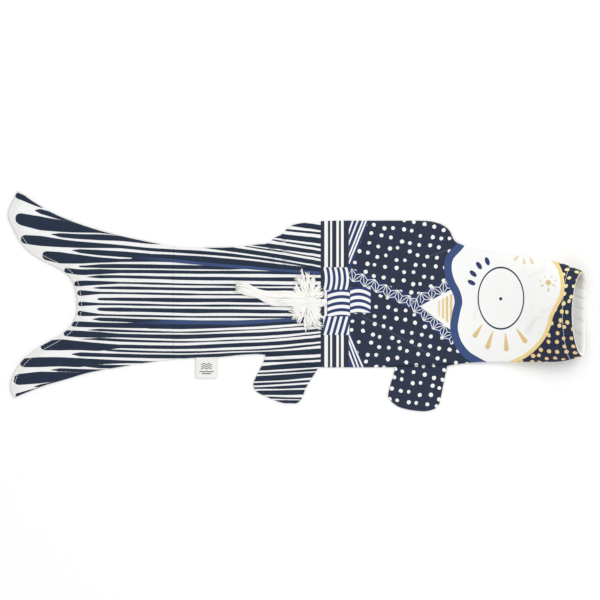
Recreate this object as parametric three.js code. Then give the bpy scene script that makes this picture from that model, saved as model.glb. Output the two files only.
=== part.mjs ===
// Carp streamer: a sewn cotton wind sock in the shape of a carp, lying flat on its far side.
// Millimetres, +Z up. +X points to the mouth, +Y to the back fin. The origin is the middle of
// the surface that the streamer lies on.
import * as THREE from 'three';

// Overall sizes. Outlines are drawn for the two drawn sizes and stretch with the overall ones.
const overallLength = 700;
const overallHeight = 267.4;
const drawnLength = 700;
const drawnHeight = 267.4;

// Cloth.
const clothThickness = 0.6;
const pieceGap = 0.3;
const crown = 2.6;
const bodyTopUnderFin = 70;

// Where the limp body bends: at the neck, behind the tassel and at the root of the tail.
const neckAt = 192;
const waistAt = -88;
const tailRootAt = -215;
const foldGap = 3.5;
const flapGap = 2;

// Mouth: a springy hoop in a channel between the printed cloth and a white facing.
const outlineEnd = 345;
const mouthHeight = 58;
const neckHeight = 5;
const mouthRise = 1.6;
const rimLean = 9.2;
const rimBow = 4.2;
const mouthLift = 0.8;
const hoopWire = 2;
const ferruleWall = 0.35;
const ferruleLength = 22;
const facingWidth = 16;
const stitchDistance = 13;
const threadWidth = 0.7;
const threadThickness = 0.3;

// Tail hem.
const hemWidth = 5;
const tailEdgeLift = 0.9;

// Label: a tape folded in two and caught in the belly seam.
const labelAt = -109.3;
const labelWidth = 26;
const labelDrop = 25.5;
const labelTape = 0.25;

// Tassel on the knot of the sash.
const tasselKnotAt = 36;
const tasselKnotRadius = 3.5;
const fringeLength = 41;
const fringeSpread = 86;
const fringeHeight = 8;
const strandsLength = 64;
const strandsHeight = 7;
const strandsDrift = 12;
const lockWidth = 17;
const lockNarrowing = 10;
const lockWidening = 3;
const lockShift = 2;
const lockFlattening = 0.35;

const lengthScale = overallLength / drawnLength;
const heightScale = overallHeight / drawnHeight;

function at(x, y) {
  return new THREE.Vector2(x * lengthScale, y * heightScale);
}

const neck = neckAt * lengthScale;
const waist = waistAt * lengthScale;
const tailRoot = tailRootAt * lengthScale;
const mouth = overallLength / 2 - rimLean + rimBow;

// The back edge with its fin, and the belly edge, from the tail tips to the mouth.
const backEdge = [
  [-338, 133.7], [-316, 118.1], [-287, 102.3], [-243.4, 86.6], [-199.8, 75.7], [-156, 67.2],
  [-130, 64.8], [-83.6, 64.8], [-47.2, 68.4], [-35, 69.8], [-26, 77], [-18.5, 80.3],
  [-11, 88], [-2, 92.8], [20, 95.9], [45, 97.3], [95, 97.4], [150, 97.3],
  [168, 95.4], [179, 91], [186, 84.6], [191.5, 73.5], [200, 68.4], [222, 61.2],
  [246, 58.7], [270, 54.6], [294, 50.5], [318, 46.6], [345, 36.5],
];
const bellyEdge = [
  [-343.3, -117.5], [-308.8, -103.5], [-279.8, -95], [-250.7, -86.6], [-214.4, -80],
  [-178, -74.3], [-134.4, -69.6], [-98.1, -68.2], [-61.8, -65], [-38, -65.2],
  [-5, -72.8], [28, -80], [60, -80.5], [120, -80.5], [170, -80.5],
  [192.6, -77], [221.6, -74.2], [270, -73.9], [318, -73.5], [345, -67],
];
const tailEdge = [
  [-343.3, -117.5], [-347.3, -104.8], [-343.3, -88.4], [-332.4, -72.1], [-314.3, -57.5],
  [-283.4, -39.4], [-269.5, -23], [-266, -3], [-270.7, 22.4], [-283.4, 36.9],
  [-314.3, 53.3], [-332, 68], [-344.2, 89], [-350, 104], [-346.4, 117], [-338, 133.7],
];
const frontFinOutline = [
  [118, -89.7], [114.9, -99.1], [111.4, -114.5], [113.4, -119.9], [122.7, -127.7],
  [134.2, -131.5], [146, -133.3], [157, -133.7], [167.5, -131], [172.8, -125.6],
  [176, -113], [179, -97.5],
];
const rearFinOutline = [
  [-40, -74.1], [-49.7, -93.5], [-52.2, -102], [-48.8, -109.6], [-36.7, -116],
  [-20.6, -122.6], [-4.5, -125], [5.2, -120.1], [11.7, -104.8], [22.2, -87.8],
];

function line(points) {
  const curve = new THREE.SplineCurve(points.map(([x, y]) => at(x, y)));
  return curve.getSpacedPoints(points.length * 12);
}

const backLine = line(backEdge);
const bellyLine = line(bellyEdge);
const tailLine = line(tailEdge);

// The height of an edge at a place along the length.
function edgeHeight(edge, x) {
  const next = edge.findIndex((point) => point.x >= x);
  if (next <= 0) {
    return (next === 0 ? edge[0] : edge[edge.length - 1]).y;
  }
  const from = edge[next - 1];
  const share = (x - from.x) / (edge[next].x - from.x);
  return THREE.MathUtils.lerp(from.y, edge[next].y, share);
}

// A line of points whose point(share) lies that share of its whole length along it.
class Run {
  constructor(points) {
    this.points = points;
    this.lengths = [0];
    for (let i = 1; i < points.length; i += 1) {
      this.lengths.push(this.lengths[i - 1] + points[i].distanceTo(points[i - 1]));
    }
  }

  point(share) {
    const wanted = share * this.lengths[this.lengths.length - 1];
    const next = Math.max(1, this.lengths.findIndex((length) => length >= wanted - 1e-9));
    const step = this.lengths[next] - this.lengths[next - 1];
    const part = (wanted - this.lengths[next - 1]) / step;
    return this.points[next - 1].clone().lerp(this.points[next], part);
  }
}

// The stretch of an edge between two places along the length.
function stretch(edge, start, end) {
  const inner = edge.filter((point) => point.x > start && point.x < end);
  const first = new THREE.Vector2(start, edgeHeight(edge, start));
  const last = new THREE.Vector2(end, edgeHeight(edge, end));
  return new Run([first, ...inner, last]);
}

// A patch filled in between four edges: rear and front run from belly to back, belly and back
// from rear to front. Each point is the two blends of opposite edges, less that of the corners.
function patch(rear, front, belly, back) {
  return (u, v) => {
    const across = belly.point(u).multiplyScalar(1 - v).add(back.point(u).multiplyScalar(v));
    const along = rear.point(v).multiplyScalar(1 - u).add(front.point(v).multiplyScalar(u));
    const low = rear.point(0).multiplyScalar(1 - u).add(front.point(0).multiplyScalar(u));
    const high = rear.point(1).multiplyScalar(1 - u).add(front.point(1).multiplyScalar(u));
    const corners = low.multiplyScalar(1 - v).add(high.multiplyScalar(v));
    return across.add(along).sub(corners);
  };
}

// A closed sheet: a block with every point moved to where place puts it. u runs along it,
// v across it and w through its thickness.
function sheet(stepsAlong, stepsAcross, place) {
  const geometry = new THREE.BoxGeometry(1, 1, 1, stepsAlong, stepsAcross, 1);
  const spots = geometry.attributes.position;
  for (let i = 0; i < spots.count; i += 1) {
    const [u, v, w] = [spots.getX(i) + 0.5, spots.getY(i) + 0.5, spots.getZ(i) + 0.5];
    const spot = place(u, v, w);
    spots.setXYZ(i, spot.x, spot.y, spot.z);
  }
  geometry.computeVertexNormals();
  return geometry;
}

// How far the near cloth stands off the far cloth: highest along the middle, nothing at the
// seams and over the back fin.
function puff(x, y) {
  const low = edgeHeight(bellyLine, x);
  const bodyTop = Math.min(edgeHeight(backLine, x), bodyTopUnderFin * heightScale);
  const across = (2 * y - bodyTop - low) / (bodyTop - low);
  const openness = THREE.MathUtils.smoothstep(x, -330 * lengthScale, 0);
  return crown * openness * Math.sqrt(Math.max(0, 1 - across * across));
}

const nearBase = clothThickness + pieceGap;

function nearCloth(place, lift) {
  return (u, v, w) => {
    const spot = place(u, v);
    const low = nearBase + puff(spot.x, spot.y) + lift(u);
    return new THREE.Vector3(spot.x, spot.y, low + w * clothThickness);
  };
}

function farCloth(place, lift) {
  return (u, v, w) => {
    const spot = place(u, v);
    return new THREE.Vector3(spot.x, spot.y, lift(u) + w * clothThickness);
  };
}

function material(colour, roughness = 0.9, metalness = 0) {
  return new THREE.MeshStandardMaterial({ color: colour, roughness, metalness });
}

const printedCotton = material('#3f4a63');
const printedReverse = material('#56607a');
const whiteCotton = material('#e6e3dc');
const tailCotton = material('#5b6477');
const stitchThread = material('#f4f3ef', 0.7);
const springSteel = material('#9aa0a6', 0.35, 0.9);
const brass = material('#c7a24f', 0.4, 0.9);
const labelTapeCloth = material('#f7f6f4', 0.8);
const yarn = material('#f4f1ea');

const streamer = new THREE.Group();

function add(name, geometry, finish, parent = streamer) {
  const mesh = new THREE.Mesh(geometry, finish);
  mesh.name = name;
  parent.add(mesh);
  return mesh;
}

// ---- Trunk: from the neck to behind the tassel, with the back fin ----

function straight(x) {
  const low = new THREE.Vector2(x, edgeHeight(bellyLine, x));
  const high = new THREE.Vector2(x, edgeHeight(backLine, x));
  return new Run([low, high]);
}

function bodyPatch(start, end) {
  const belly = stretch(bellyLine, start, end);
  const back = stretch(backLine, start, end);
  return patch(straight(start), straight(end), belly, back);
}

const flat = () => 0;
const trunkPlace = bodyPatch(waist + foldGap, neck - foldGap);
add('trunk_near_panel', sheet(22, 8, nearCloth(trunkPlace, flat)), printedCotton);
add('trunk_far_panel', sheet(22, 4, farCloth(trunkPlace, flat)), printedReverse);

// ---- Rear body ----

const rearPlace = bodyPatch(tailRoot + foldGap, waist - foldGap);
add('rear_near_panel', sheet(6, 8, nearCloth(rearPlace, flat)), printedCotton);
add('rear_far_panel', sheet(6, 4, farCloth(rearPlace, flat)), printedReverse);

// ---- Tail: both plies end in a hem, and their edges lift a little ----

const tailFront = tailRoot - foldGap;
const tailBelly = stretch(bellyLine, bellyLine[0].x, tailFront);
const tailBack = stretch(backLine, backLine[0].x, tailFront);
const tailPlace = patch(new Run(tailLine), straight(tailFront), tailBelly, tailBack);
const tailLift = (u) => tailEdgeLift * (1 - u) * (1 - u);
add('tail_near_panel', sheet(9, 20, nearCloth(tailPlace, tailLift)), tailCotton);
add('tail_far_panel', sheet(9, 20, farCloth(tailPlace, tailLift)), printedReverse);

// One row of topstitching a hem's width inside the tail's edge, short of both tips.
const tailRun = new Run(tailLine);
const rowStart = 0.04;

function hemRow(base) {
  return (u, v, w) => {
    const share = rowStart + (1 - 2 * rowStart) * v;
    const spot = tailRun.point(share);
    const ahead = tailRun.point(share + rowStart / 8);
    const behind = tailRun.point(share - rowStart / 8);
    const along = ahead.sub(behind).normalize();
    const inside = hemWidth + (u - 0.5) * threadWidth;
    const x = spot.x + along.y * inside;
    const y = spot.y - along.x * inside;
    return new THREE.Vector3(x, y, base(x, y) + w * threadThickness);
  };
}

const nearTop = nearBase + clothThickness + pieceGap + tailEdgeLift;
const onNear = (x, y) => nearTop + puff(x, y);
const underFar = () => 0;
add('tail_near_topstitch', sheet(1, 40, hemRow(onNear)), stitchThread);
add('tail_far_topstitch', sheet(1, 40, hemRow(underFar)), stitchThread);

// ---- Head: a tube that opens from flat at the neck to the hooped mouth ----

const headStart = neck + foldGap;
const headLength = mouth - headStart;

// A point of the tube: along from 0 at the neck to 1 at the rim, angle from the back seam over
// the near side, and inset from the outside of the cloth. Sections are ellipses; the rim leans
// back at the top and bows a little.
function head(along, angle, inset) {
  const x = headStart + along * headLength;
  const top = edgeHeight(backLine, Math.min(x, outlineEnd * lengthScale));
  const low = edgeHeight(bellyLine, Math.min(x, outlineEnd * lengthScale));
  const rise = Math.pow(Math.max(0, along), mouthRise);
  const height = neckHeight + (mouthHeight - neckHeight) * rise;
  const sine = Math.sin(angle);
  const lean = (rimLean * sine + rimBow * sine * sine) * along * along;
  const y = (top + low) / 2 + ((top - low) / 2 - inset) * Math.cos(angle);
  const z = mouthLift * along + height / 2 + (height / 2 - inset) * sine;
  return new THREE.Vector3(x - lean, y, z);
}

const panelEnd = 1 - (clothThickness + pieceGap) / headLength;

// Half of the tube's wall, from the belly seam to the back seam, over the near or far side.
function headCloth(side) {
  return (u, v, w) => {
    const along = u * panelEnd;
    const height = neckHeight + (mouthHeight - neckHeight) * Math.pow(along, mouthRise);
    const seam = Math.asin(pieceGap / (height / 2 - clothThickness));
    const angle = side * THREE.MathUtils.clamp(Math.PI * (1 - v), seam, Math.PI - seam);
    return head(along, angle, clothThickness * (side > 0 ? 1 - w : w));
  };
}

const halfTurnSteps = 20;
add('head_near_panel', sheet(12, halfTurnSteps, headCloth(1)), printedCotton);
add('head_far_panel', sheet(12, halfTurnSteps, headCloth(-1)), printedReverse);

const ferruleRadius = hoopWire / 2 + pieceGap + ferruleWall;
const hoopInset = clothThickness + pieceGap + ferruleRadius;
const hoopBack = hoopInset;
const facingInset = hoopInset + ferruleRadius + pieceGap;

// A ring round the mouth. Its profile is points of inset from the outside of the cloth and
// distance back from the rim, and it is turned as a lathe piece and then laid round the tube.
function mouthRing(profile) {
  const turning = 100;
  const points = profile.map(([inset, back]) => new THREE.Vector2(turning - inset, -back));
  points.reverse();
  const geometry = new THREE.LatheGeometry([...points, points[0]], 2 * halfTurnSteps);
  const spots = geometry.attributes.position;
  for (let i = 0; i < spots.count; i += 1) {
    const radius = Math.hypot(spots.getX(i), spots.getZ(i));
    const angle = Math.atan2(spots.getX(i), spots.getZ(i));
    const spot = head(1 + spots.getY(i) / headLength, angle, turning - radius);
    spots.setXYZ(i, spot.x, spot.y, spot.z);
  }
  geometry.computeVertexNormals();
  return geometry;
}

const facingLow = clothThickness + pieceGap;
const channelBack = hoopBack + ferruleRadius + pieceGap;
const facingProfile = [
  [0, 0],
  [0, clothThickness],
  [facingInset, clothThickness],
  [facingInset, channelBack],
  [facingLow, facingWidth - 2],
  [facingLow, facingWidth],
  [facingLow + clothThickness, facingWidth],
  [facingInset + clothThickness, channelBack],
  [facingInset + clothThickness, 0],
];
add('mouth_facing', mouthRing(facingProfile), whiteCotton);

const threadNear = -pieceGap;
const threadProfile = [
  [threadNear, stitchDistance],
  [threadNear - threadThickness, stitchDistance],
  [threadNear - threadThickness, stitchDistance + threadWidth],
  [threadNear, stitchDistance + threadWidth],
];
add('mouth_topstitch', mouthRing(threadProfile), stitchThread);

// The line that the hoop follows, round the inside of the channel.
class HoopLine extends THREE.Curve {
  constructor(start, end) {
    super();
    this.start = start;
    this.end = end;
  }

  getPoint(share) {
    const angle = this.start + (this.end - this.start) * share;
    return head(1 - hoopBack / headLength, angle, hoopInset);
  }
}

// The wire's two ends meet under the far side, with a small angle left free on each side.
const joinAngle = -Math.PI / 3;
const endAngle = 0.012;
const hoopLine = new HoopLine(joinAngle + endAngle, joinAngle + 2 * Math.PI - endAngle);
const wireSection = new THREE.Shape();
wireSection.absarc(0, 0, hoopWire / 2, 0, 2 * Math.PI);
const hoopOptions = { steps: 56, curveSegments: 4, bevelEnabled: false, extrudePath: hoopLine };
add('mouth_hoop', new THREE.ExtrudeGeometry(wireSection, hoopOptions), springSteel);

const hoopRadius = hoopLine.getLength() / (2 * Math.PI);
const ferruleHalf = ferruleLength / 2 / hoopRadius;
const ferruleLine = new HoopLine(joinAngle - ferruleHalf, joinAngle + ferruleHalf);
const ferruleSection = new THREE.Shape();
ferruleSection.absarc(0, 0, ferruleRadius, 0, 2 * Math.PI);
const ferruleBore = new THREE.Path();
ferruleBore.absarc(0, 0, hoopWire / 2 + pieceGap, 0, 2 * Math.PI);
ferruleSection.holes.push(ferruleBore);
const ferruleOptions = { steps: 5, curveSegments: 8, bevelEnabled: false, extrudePath: ferruleLine };
add('hoop_ferrule', new THREE.ExtrudeGeometry(ferruleSection, ferruleOptions), brass);

// ---- Fins: two plies each, hung from the belly seam ----

// A point of the belly seam, and the same point a gap below it.
function seamPoint(x) {
  return new THREE.Vector2(x * lengthScale, edgeHeight(bellyLine, x * lengthScale));
}

function down(point) {
  return new THREE.Vector2(point.x, point.y - flapGap);
}

// Both plies have one outline: straight along the seam and a smooth line through the points.
function finPlies(name, seamStart, seamEnd, outline) {
  const shape = new THREE.Shape();
  shape.moveTo(down(seamStart).x, down(seamStart).y);
  shape.splineThru([...outline.map(([x, y]) => at(x, y)), down(seamEnd)]);
  shape.closePath();
  const options = { depth: clothThickness, bevelEnabled: false, curveSegments: 3 };
  add(`${name}_far_ply`, new THREE.ExtrudeGeometry(shape, options), printedReverse);
  const near = add(`${name}_near_ply`, new THREE.ExtrudeGeometry(shape, options), printedCotton);
  near.position.z = nearBase;
}

finPlies('front_fin', seamPoint(119.5), seamPoint(183), frontFinOutline);
finPlies('rear_fin', seamPoint(-37.5), seamPoint(27.5), rearFinOutline);

// ---- Label: one tape folded at the bottom ----

const labelTop = edgeHeight(bellyLine, labelAt * lengthScale) - flapGap;
const labelDepth = 2 * labelTape + pieceGap;
const labelSection = new THREE.Shape();
labelSection.moveTo(0, 0);
labelSection.lineTo(labelDrop - labelDepth / 2, 0);
labelSection.absarc(
  labelDrop - labelDepth / 2, labelDepth / 2, labelDepth / 2, -Math.PI / 2, Math.PI / 2, false,
);
labelSection.lineTo(0, labelDepth);
labelSection.lineTo(0, labelDepth - labelTape);
labelSection.lineTo(labelDrop - labelDepth / 2, labelDepth - labelTape);
labelSection.absarc(
  labelDrop - labelDepth / 2, labelDepth / 2, pieceGap / 2, Math.PI / 2, -Math.PI / 2, true,
);
labelSection.lineTo(0, labelTape);
labelSection.closePath();
const labelOptions = { depth: labelWidth, bevelEnabled: false, curveSegments: 6 };
const label = add(
  'sewn_label',
  new THREE.ExtrudeGeometry(labelSection, labelOptions),
  labelTapeCloth,
);
label.rotation.set(Math.PI / 2, 0, -Math.PI / 2, 'ZXY');
label.position.set(labelAt * lengthScale + labelWidth / 2, labelTop, clothThickness / 2);

// ---- Tassel: a wrapped knot, a fringe spread over the sash, and a long lock of strands ----

const tasselY = -1;
const tasselFloor = nearBase + clothThickness + crown + pieceGap;
const tassel = new THREE.Group();
tassel.position.set(tasselKnotAt * lengthScale, tasselY, tasselFloor);
streamer.add(tassel);

const knot = new THREE.SphereGeometry(tasselKnotRadius, 12, 8);
add('tassel_knot', knot, yarn, tassel).position.z = tasselKnotRadius;

const fringe = new THREE.SphereGeometry(1, 20, 8);
fringe.scale(fringeLength / 2, fringeSpread / 2, fringeHeight / 2);
const fringeMiddle = -tasselKnotRadius - pieceGap - fringeLength / 2;
add('tassel_fringe', fringe, yarn, tassel).position.set(fringeMiddle, 0, fringeHeight / 2);

// The lock narrows behind the fringe, swells at its free end, drifts to one side and gets
// flatter towards that end. Its section is an oval cut off a little at both sides.
function lockPlace(u, v, w) {
  const narrowing = lockNarrowing * Math.sin(0.85 * Math.PI * u);
  const width = lockWidth - narrowing + lockWidening * u;
  const y = strandsDrift * u + lockShift + (v - 0.5) * width;
  const edge = Math.sqrt(1 - Math.pow(0.9 * (2 * v - 1), 2));
  const z = strandsHeight * (0.5 + (w - 0.5) * edge * (1 - lockFlattening * u));
  return new THREE.Vector3(-u * strandsLength, y, z);
}

function mirrored(place) {
  return (u, v, w) => place(1 - u, v, w);
}

const lock = add('tassel_lock', sheet(10, 5, mirrored(lockPlace)), yarn, tassel);
lock.position.x = fringeMiddle - fringeLength / 2 - pieceGap;

export default streamer;
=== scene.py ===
"""Carp streamer: a sewn cotton wind sock lying flat on its far side, seen from straight above.

Sizes in the sections are millimetres; a mesh is turned into metres when it is made. X runs from
the tail to the mouth, Y from the belly to the back fin, Z up out of the near side.
"""

import bpy
import numpy as np
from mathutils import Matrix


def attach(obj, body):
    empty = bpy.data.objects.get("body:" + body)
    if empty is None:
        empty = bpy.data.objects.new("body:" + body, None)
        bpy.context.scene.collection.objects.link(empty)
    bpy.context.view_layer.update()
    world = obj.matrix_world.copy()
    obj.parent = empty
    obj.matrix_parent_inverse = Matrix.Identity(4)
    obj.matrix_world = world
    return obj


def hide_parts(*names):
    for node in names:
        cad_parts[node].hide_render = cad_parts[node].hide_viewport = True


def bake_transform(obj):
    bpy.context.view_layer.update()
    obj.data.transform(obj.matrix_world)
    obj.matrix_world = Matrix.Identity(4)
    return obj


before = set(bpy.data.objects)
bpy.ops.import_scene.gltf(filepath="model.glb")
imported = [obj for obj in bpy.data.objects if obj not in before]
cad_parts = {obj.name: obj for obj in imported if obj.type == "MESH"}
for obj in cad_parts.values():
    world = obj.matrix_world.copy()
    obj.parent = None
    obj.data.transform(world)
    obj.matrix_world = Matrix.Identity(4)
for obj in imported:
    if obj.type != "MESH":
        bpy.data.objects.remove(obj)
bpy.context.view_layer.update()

# ---- Camera, floor and light ----
# A long lens looks straight down at the streamer on a pale floor. One broad lamp and an even
# surround give soft studio light with hardly any shadow.

scene = bpy.context.scene
scene.view_settings.view_transform = "Standard"


def put_in(name, data):
    """A new object in the scene that shows the given mesh, lamp or camera."""
    thing = bpy.data.objects.new(name, data)
    scene.collection.objects.link(thing)
    return thing


def settle(node, values):
    """Sets a node's inputs to the values given by name."""
    for name, value in values.items():
        node.inputs[name].default_value = value


def new_finish(name):
    """A new material, with its node tree and the shader of its surface."""
    material = bpy.data.materials.new(name)
    material.use_nodes = True
    return material, material.node_tree, material.node_tree.nodes["Principled BSDF"]


view_width = 728.5
view_centre = (4.25, 1.1)
long_lens = bpy.data.cameras.new("long_lens")
long_lens.lens = 400
long_lens.sensor_width = 36
long_lens.clip_end = 60
camera = put_in("camera", long_lens)
camera_height = view_width * long_lens.lens / long_lens.sensor_width
camera.location = (view_centre[0] / 1000, view_centre[1] / 1000, camera_height / 1000)
scene.camera = camera

# The floor reaches 5 m each way, a hair below the lying cloth.
floor_reach, floor_height = 5, -0.0003
floor_corners = [
    (floor_reach * right, floor_reach * up, floor_height)
    for right, up in ((-1, -1), (1, -1), (1, 1), (-1, 1))
]
floor_mesh = bpy.data.meshes.new("floor")
floor_mesh.from_pydata(floor_corners, [], [(0, 1, 2, 3)])
floor = put_in("floor", floor_mesh)

floor_paint, _, floor_surface = new_finish("floor_paint")
settle(floor_surface, {"Base Color": (0.98, 0.98, 0.98, 1), "Roughness": 0.95})
floor_mesh.materials.append(floor_paint)

surround = bpy.data.worlds.new("surround")
surround.use_nodes = True
settle(surround.node_tree.nodes["Background"], {"Color": (1, 1, 1, 1), "Strength": 0.88})
scene.world = surround

broad_lamp = bpy.data.lights.new("broad_lamp", "AREA")
broad_lamp.shape = "DISK"
broad_lamp.size = 1.3
broad_lamp.energy = 14
lamp = put_in("broad_lamp", broad_lamp)
lamp.location = (1.1, 0.9, 1.9)
lamp.rotation_mode = "QUATERNION"
lamp.rotation_quaternion = lamp.location.to_track_quat("Z", "Y")

# ---- Front cloth: sash, dotted body and face, one ply on each side ----
# Printed cotton, sewn to the other side along back and belly. Between the sash and the mouth it
# carries the sash with its knot, dots, a leaf-pattern band, and the white face with the eye.

back_edge = [
    (-338, 133.7), (-316, 118.1), (-287, 102.3), (-243.4, 86.6), (-199.8, 75.7), (-156, 67.2),
    (-130, 64.8), (-83.6, 64.8), (-47.2, 68.4), (-35, 69.8), (-26, 77), (-18.5, 80.3),
    (-11, 88), (-2, 92.8), (20, 95.9), (45, 97.3), (95, 97.4), (150, 97.3),
    (168, 95.4), (179, 91), (186, 84.6), (191.5, 73.5), (200, 68.4), (222, 61.2),
    (246, 58.7), (270, 54.6), (294, 50.5), (318, 46.6), (345, 36.5),
]
belly_edge = [
    (-343.3, -117.5), (-308.8, -103.5), (-279.8, -95), (-250.7, -86.6), (-214.4, -80),
    (-178, -74.3), (-134.4, -69.6), (-98.1, -68.2), (-61.8, -65), (-38, -65.2),
    (-5, -72.8), (28, -80), (60, -80.5), (120, -80.5), (170, -80.5),
    (192.6, -77), (221.6, -74.2), (270, -73.9), (318, -73.5), (345, -67),
]
sides = ((1, "near"), (-1, "far"))
cloth_thickness = 0.28
sash_edge_at = 29.3
mouth_at = 345.0

# The tube lies flat up to the head, opens to the hoop's oval at the mouth, and is highest there.
head_starts_at = 195.5
closed_height, mouth_height, flare = 5.0, 58.0, 1.6
mouth_lift = 0.8
# How far the rim's top leans back, in proportion to the bulge and to its square.
rim_lean, rim_curl = 9.2, 4.2
# Where the flat section turns into the oval one, and where the room at the seams ends.
oval_from, oval_to = 150, 225
seam_room, room_from, room_to = 0.32, 200, 260
# Heights of the flat part: its seam, the near cloth's rise at the tail and at the sash, and the
# far cloth's drop.
flat_seam, tail_rise, sash_rise, flat_drop = 0.95, 0.6, 3.15, 0.9
pucker_height, pucker_pitch, pucker_reach = 0.14, 6.2, 5


def smooth_line(points, steps=24):
    """A line through drawn points. Each span is a cubic of its two ends, with the slope at an
    end equal to half the step between that end's two neighbours."""
    drawn = np.asarray(points, float)
    p = np.vstack([drawn[:1], drawn, drawn[-1:]])
    t = np.linspace(0, 1, steps, endpoint=False)[None, :, None]
    start, end = p[1:-2, None], p[2:-1, None]
    leaving, arriving = (p[2:-1, None] - p[:-3, None]) / 2, (p[3:, None] - p[1:-2, None]) / 2
    cubic = (2 * start - 2 * end + leaving + arriving) * t**3
    square = (3 * end - 3 * start - 2 * leaving - arriving) * t**2
    return np.vstack([(cubic + square + leaving * t + start).reshape(-1, 2), drawn[-1:]])


back_line = smooth_line(back_edge)
belly_line = smooth_line(belly_edge)


def back_at(x):
    """Height of the back seam at x, straight between the points of its line."""
    return np.interp(x, back_line[:, 0], back_line[:, 1])


def belly_at(x):
    """Height of the belly seam at x, straight between the points of its line."""
    return np.interp(x, belly_line[:, 0], belly_line[:, 1])


def middle_at(x):
    """Height half way between the two seams at x."""
    return (belly_at(x) + back_at(x)) / 2


def half_at(x):
    """Half the distance between the two seams at x."""
    return (back_at(x) - belly_at(x)) / 2


def ease(value, start, end):
    """From 0 at start to 1 at end, three times the square of the share less twice its cube."""
    share = np.clip((value - start) / (end - start), 0, 1)
    return share * share * (3 - 2 * share)


# Soft folds in the lying cloth: from x, y to x, y, then half width and height.
soft_folds = [
    (79, -18, 127, -44, 2.6, 0.45), (127, -44, 166, -68, 2.6, 0.4), (158, 53, 188, 63, 2.4, 0.4),
    (95, 60, 170, 30, 7, 0.35), (70, 75, 150, 88, 9, 0.3), (100, -60, 175, -40, 8, 0.35),
    (333, 12, 282, 34, 5, 0.9), (330, -14, 276, -20, 6, 0.8), (333, -42, 268, -56, 5, 0.8),
    (318, 30, 262, 48, 5, 0.5), (205, 40, 240, 52, 4, 0.35), (212, -50, 250, -62, 4, 0.4),
    (296, 5, 288, -45, 4, 0.5), (-20, 60, 24, 88, 6, 0.5), (-140, 30, -40, 22, 8, 0.4),
    (-150, -40, -20, -52, 8, 0.45), (-60, 50, 20, 62, 7, 0.4), (-190, 25, -300, 60, 9, 0.4),
    (-190, -20, -310, -62, 9, 0.4), (-230, 55, -330, 108, 8, 0.35),
    (-230, -60, -335, -100, 8, 0.35), (-215, 0, -262, -4, 7, 0.3),
]


def gap_from_run(x, y, start, end):
    """Distance from a straight run. The nearest place on it is a share of the way along: the
    product of the two directions over the run's square, held between 0 and 1."""
    run_x, run_y = end[0] - start[0], end[1] - start[1]
    share = ((x - start[0]) * run_x + (y - start[1]) * run_y) / (run_x**2 + run_y**2)
    share = np.clip(share, 0, 1)
    return np.hypot(x - start[0] - share * run_x, y - start[1] - share * run_y)


def fold_height(x, y):
    """Two slow waves and, for each soft fold, a bell of the distance from its line."""
    height = 0.16 * np.sin(x / 23 + y / 31) + 0.09 * np.sin(x / 9.5 - y / 14 + 1.3)
    for from_x, from_y, to_x, to_y, width, rise in soft_folds:
        apart = gap_from_run(x, y, (from_x, from_y), (to_x, to_y))
        height = height + rise * np.exp(-((apart / width) ** 2))
    return height


def way_to_mouth(x):
    """Share of the way from the head's start to the mouth; 0 before the head."""
    return np.clip((x - head_starts_at) / (mouth_at - head_starts_at), 0, None)


def opening_at(along):
    """Height of the open section: it grows with a power of the way to the mouth."""
    return closed_height + (mouth_height - closed_height) * along**flare


def lean_back(x, rise, along):
    """x moved back where the section rises, by the rim's lean and curl, and the more so the
    nearer it is to the mouth: times the square of the way there."""
    return x - (rim_lean * rise + rim_curl * rise**2) * along**2


def cloth_surface(x, across, side):
    """A point of the cloth's outside. across goes from -1 at the belly seam to 1 at the back
    seam. The section is half an ellipse on each side of the seam, low where the cloth lies flat
    and opening to the hoop's oval. A little room is left between the cloths at the seam, and
    small puckers run along it."""
    along = way_to_mouth(x)
    opened = opening_at(along)
    share = ease(x, oval_from, oval_to)
    seam = (1 - share) * flat_seam + share * (mouth_lift * along + opened / 2)
    limp = tail_rise + (sash_rise - tail_rise) * ease(x, -330, 0)
    apart = seam_room * (1 - ease(x, room_from, room_to))
    rise = (1 - share) * limp + share * opened / 2 - apart
    drop = (1 - share) * flat_drop + share * opened / 2 - apart
    y = middle_at(x) + half_at(x) * across
    bulge = np.sqrt(np.clip(1 - across**2, 0, 1))
    folds = fold_height(x, y)
    from_seam = (1 - np.abs(across)) * half_at(x)
    fading = np.exp(-from_seam / pucker_reach) * bulge**0.5
    pucker = pucker_height * np.sin(2 * np.pi * x / pucker_pitch) * fading
    if side > 0:
        z = seam + apart + bulge * (rise + folds) + pucker
    else:
        z = seam - apart - bulge * (drop - 0.3 * np.abs(folds) * share) + 0.3 * np.abs(pucker)
    return np.stack([lean_back(x, side * bulge, along), y, z], axis=-1)


def print_place(x, across):
    """Where the print of a point lies, seen from straight above its own side."""
    bulge = np.sqrt(np.clip(1 - across**2, 0, 1))
    return lean_back(x, bulge, way_to_mouth(x)), middle_at(x) + half_at(x) * across


def spread(steps):
    """Places across the cloth from -1 to 1, closer together near the seams: two thirds of an
    even step and one third of a cosine step."""
    even = np.linspace(0, 1, steps)
    return 2 * (0.66 * even + 0.34 * (1 - np.cos(np.pi * even)) / 2) - 1


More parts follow.
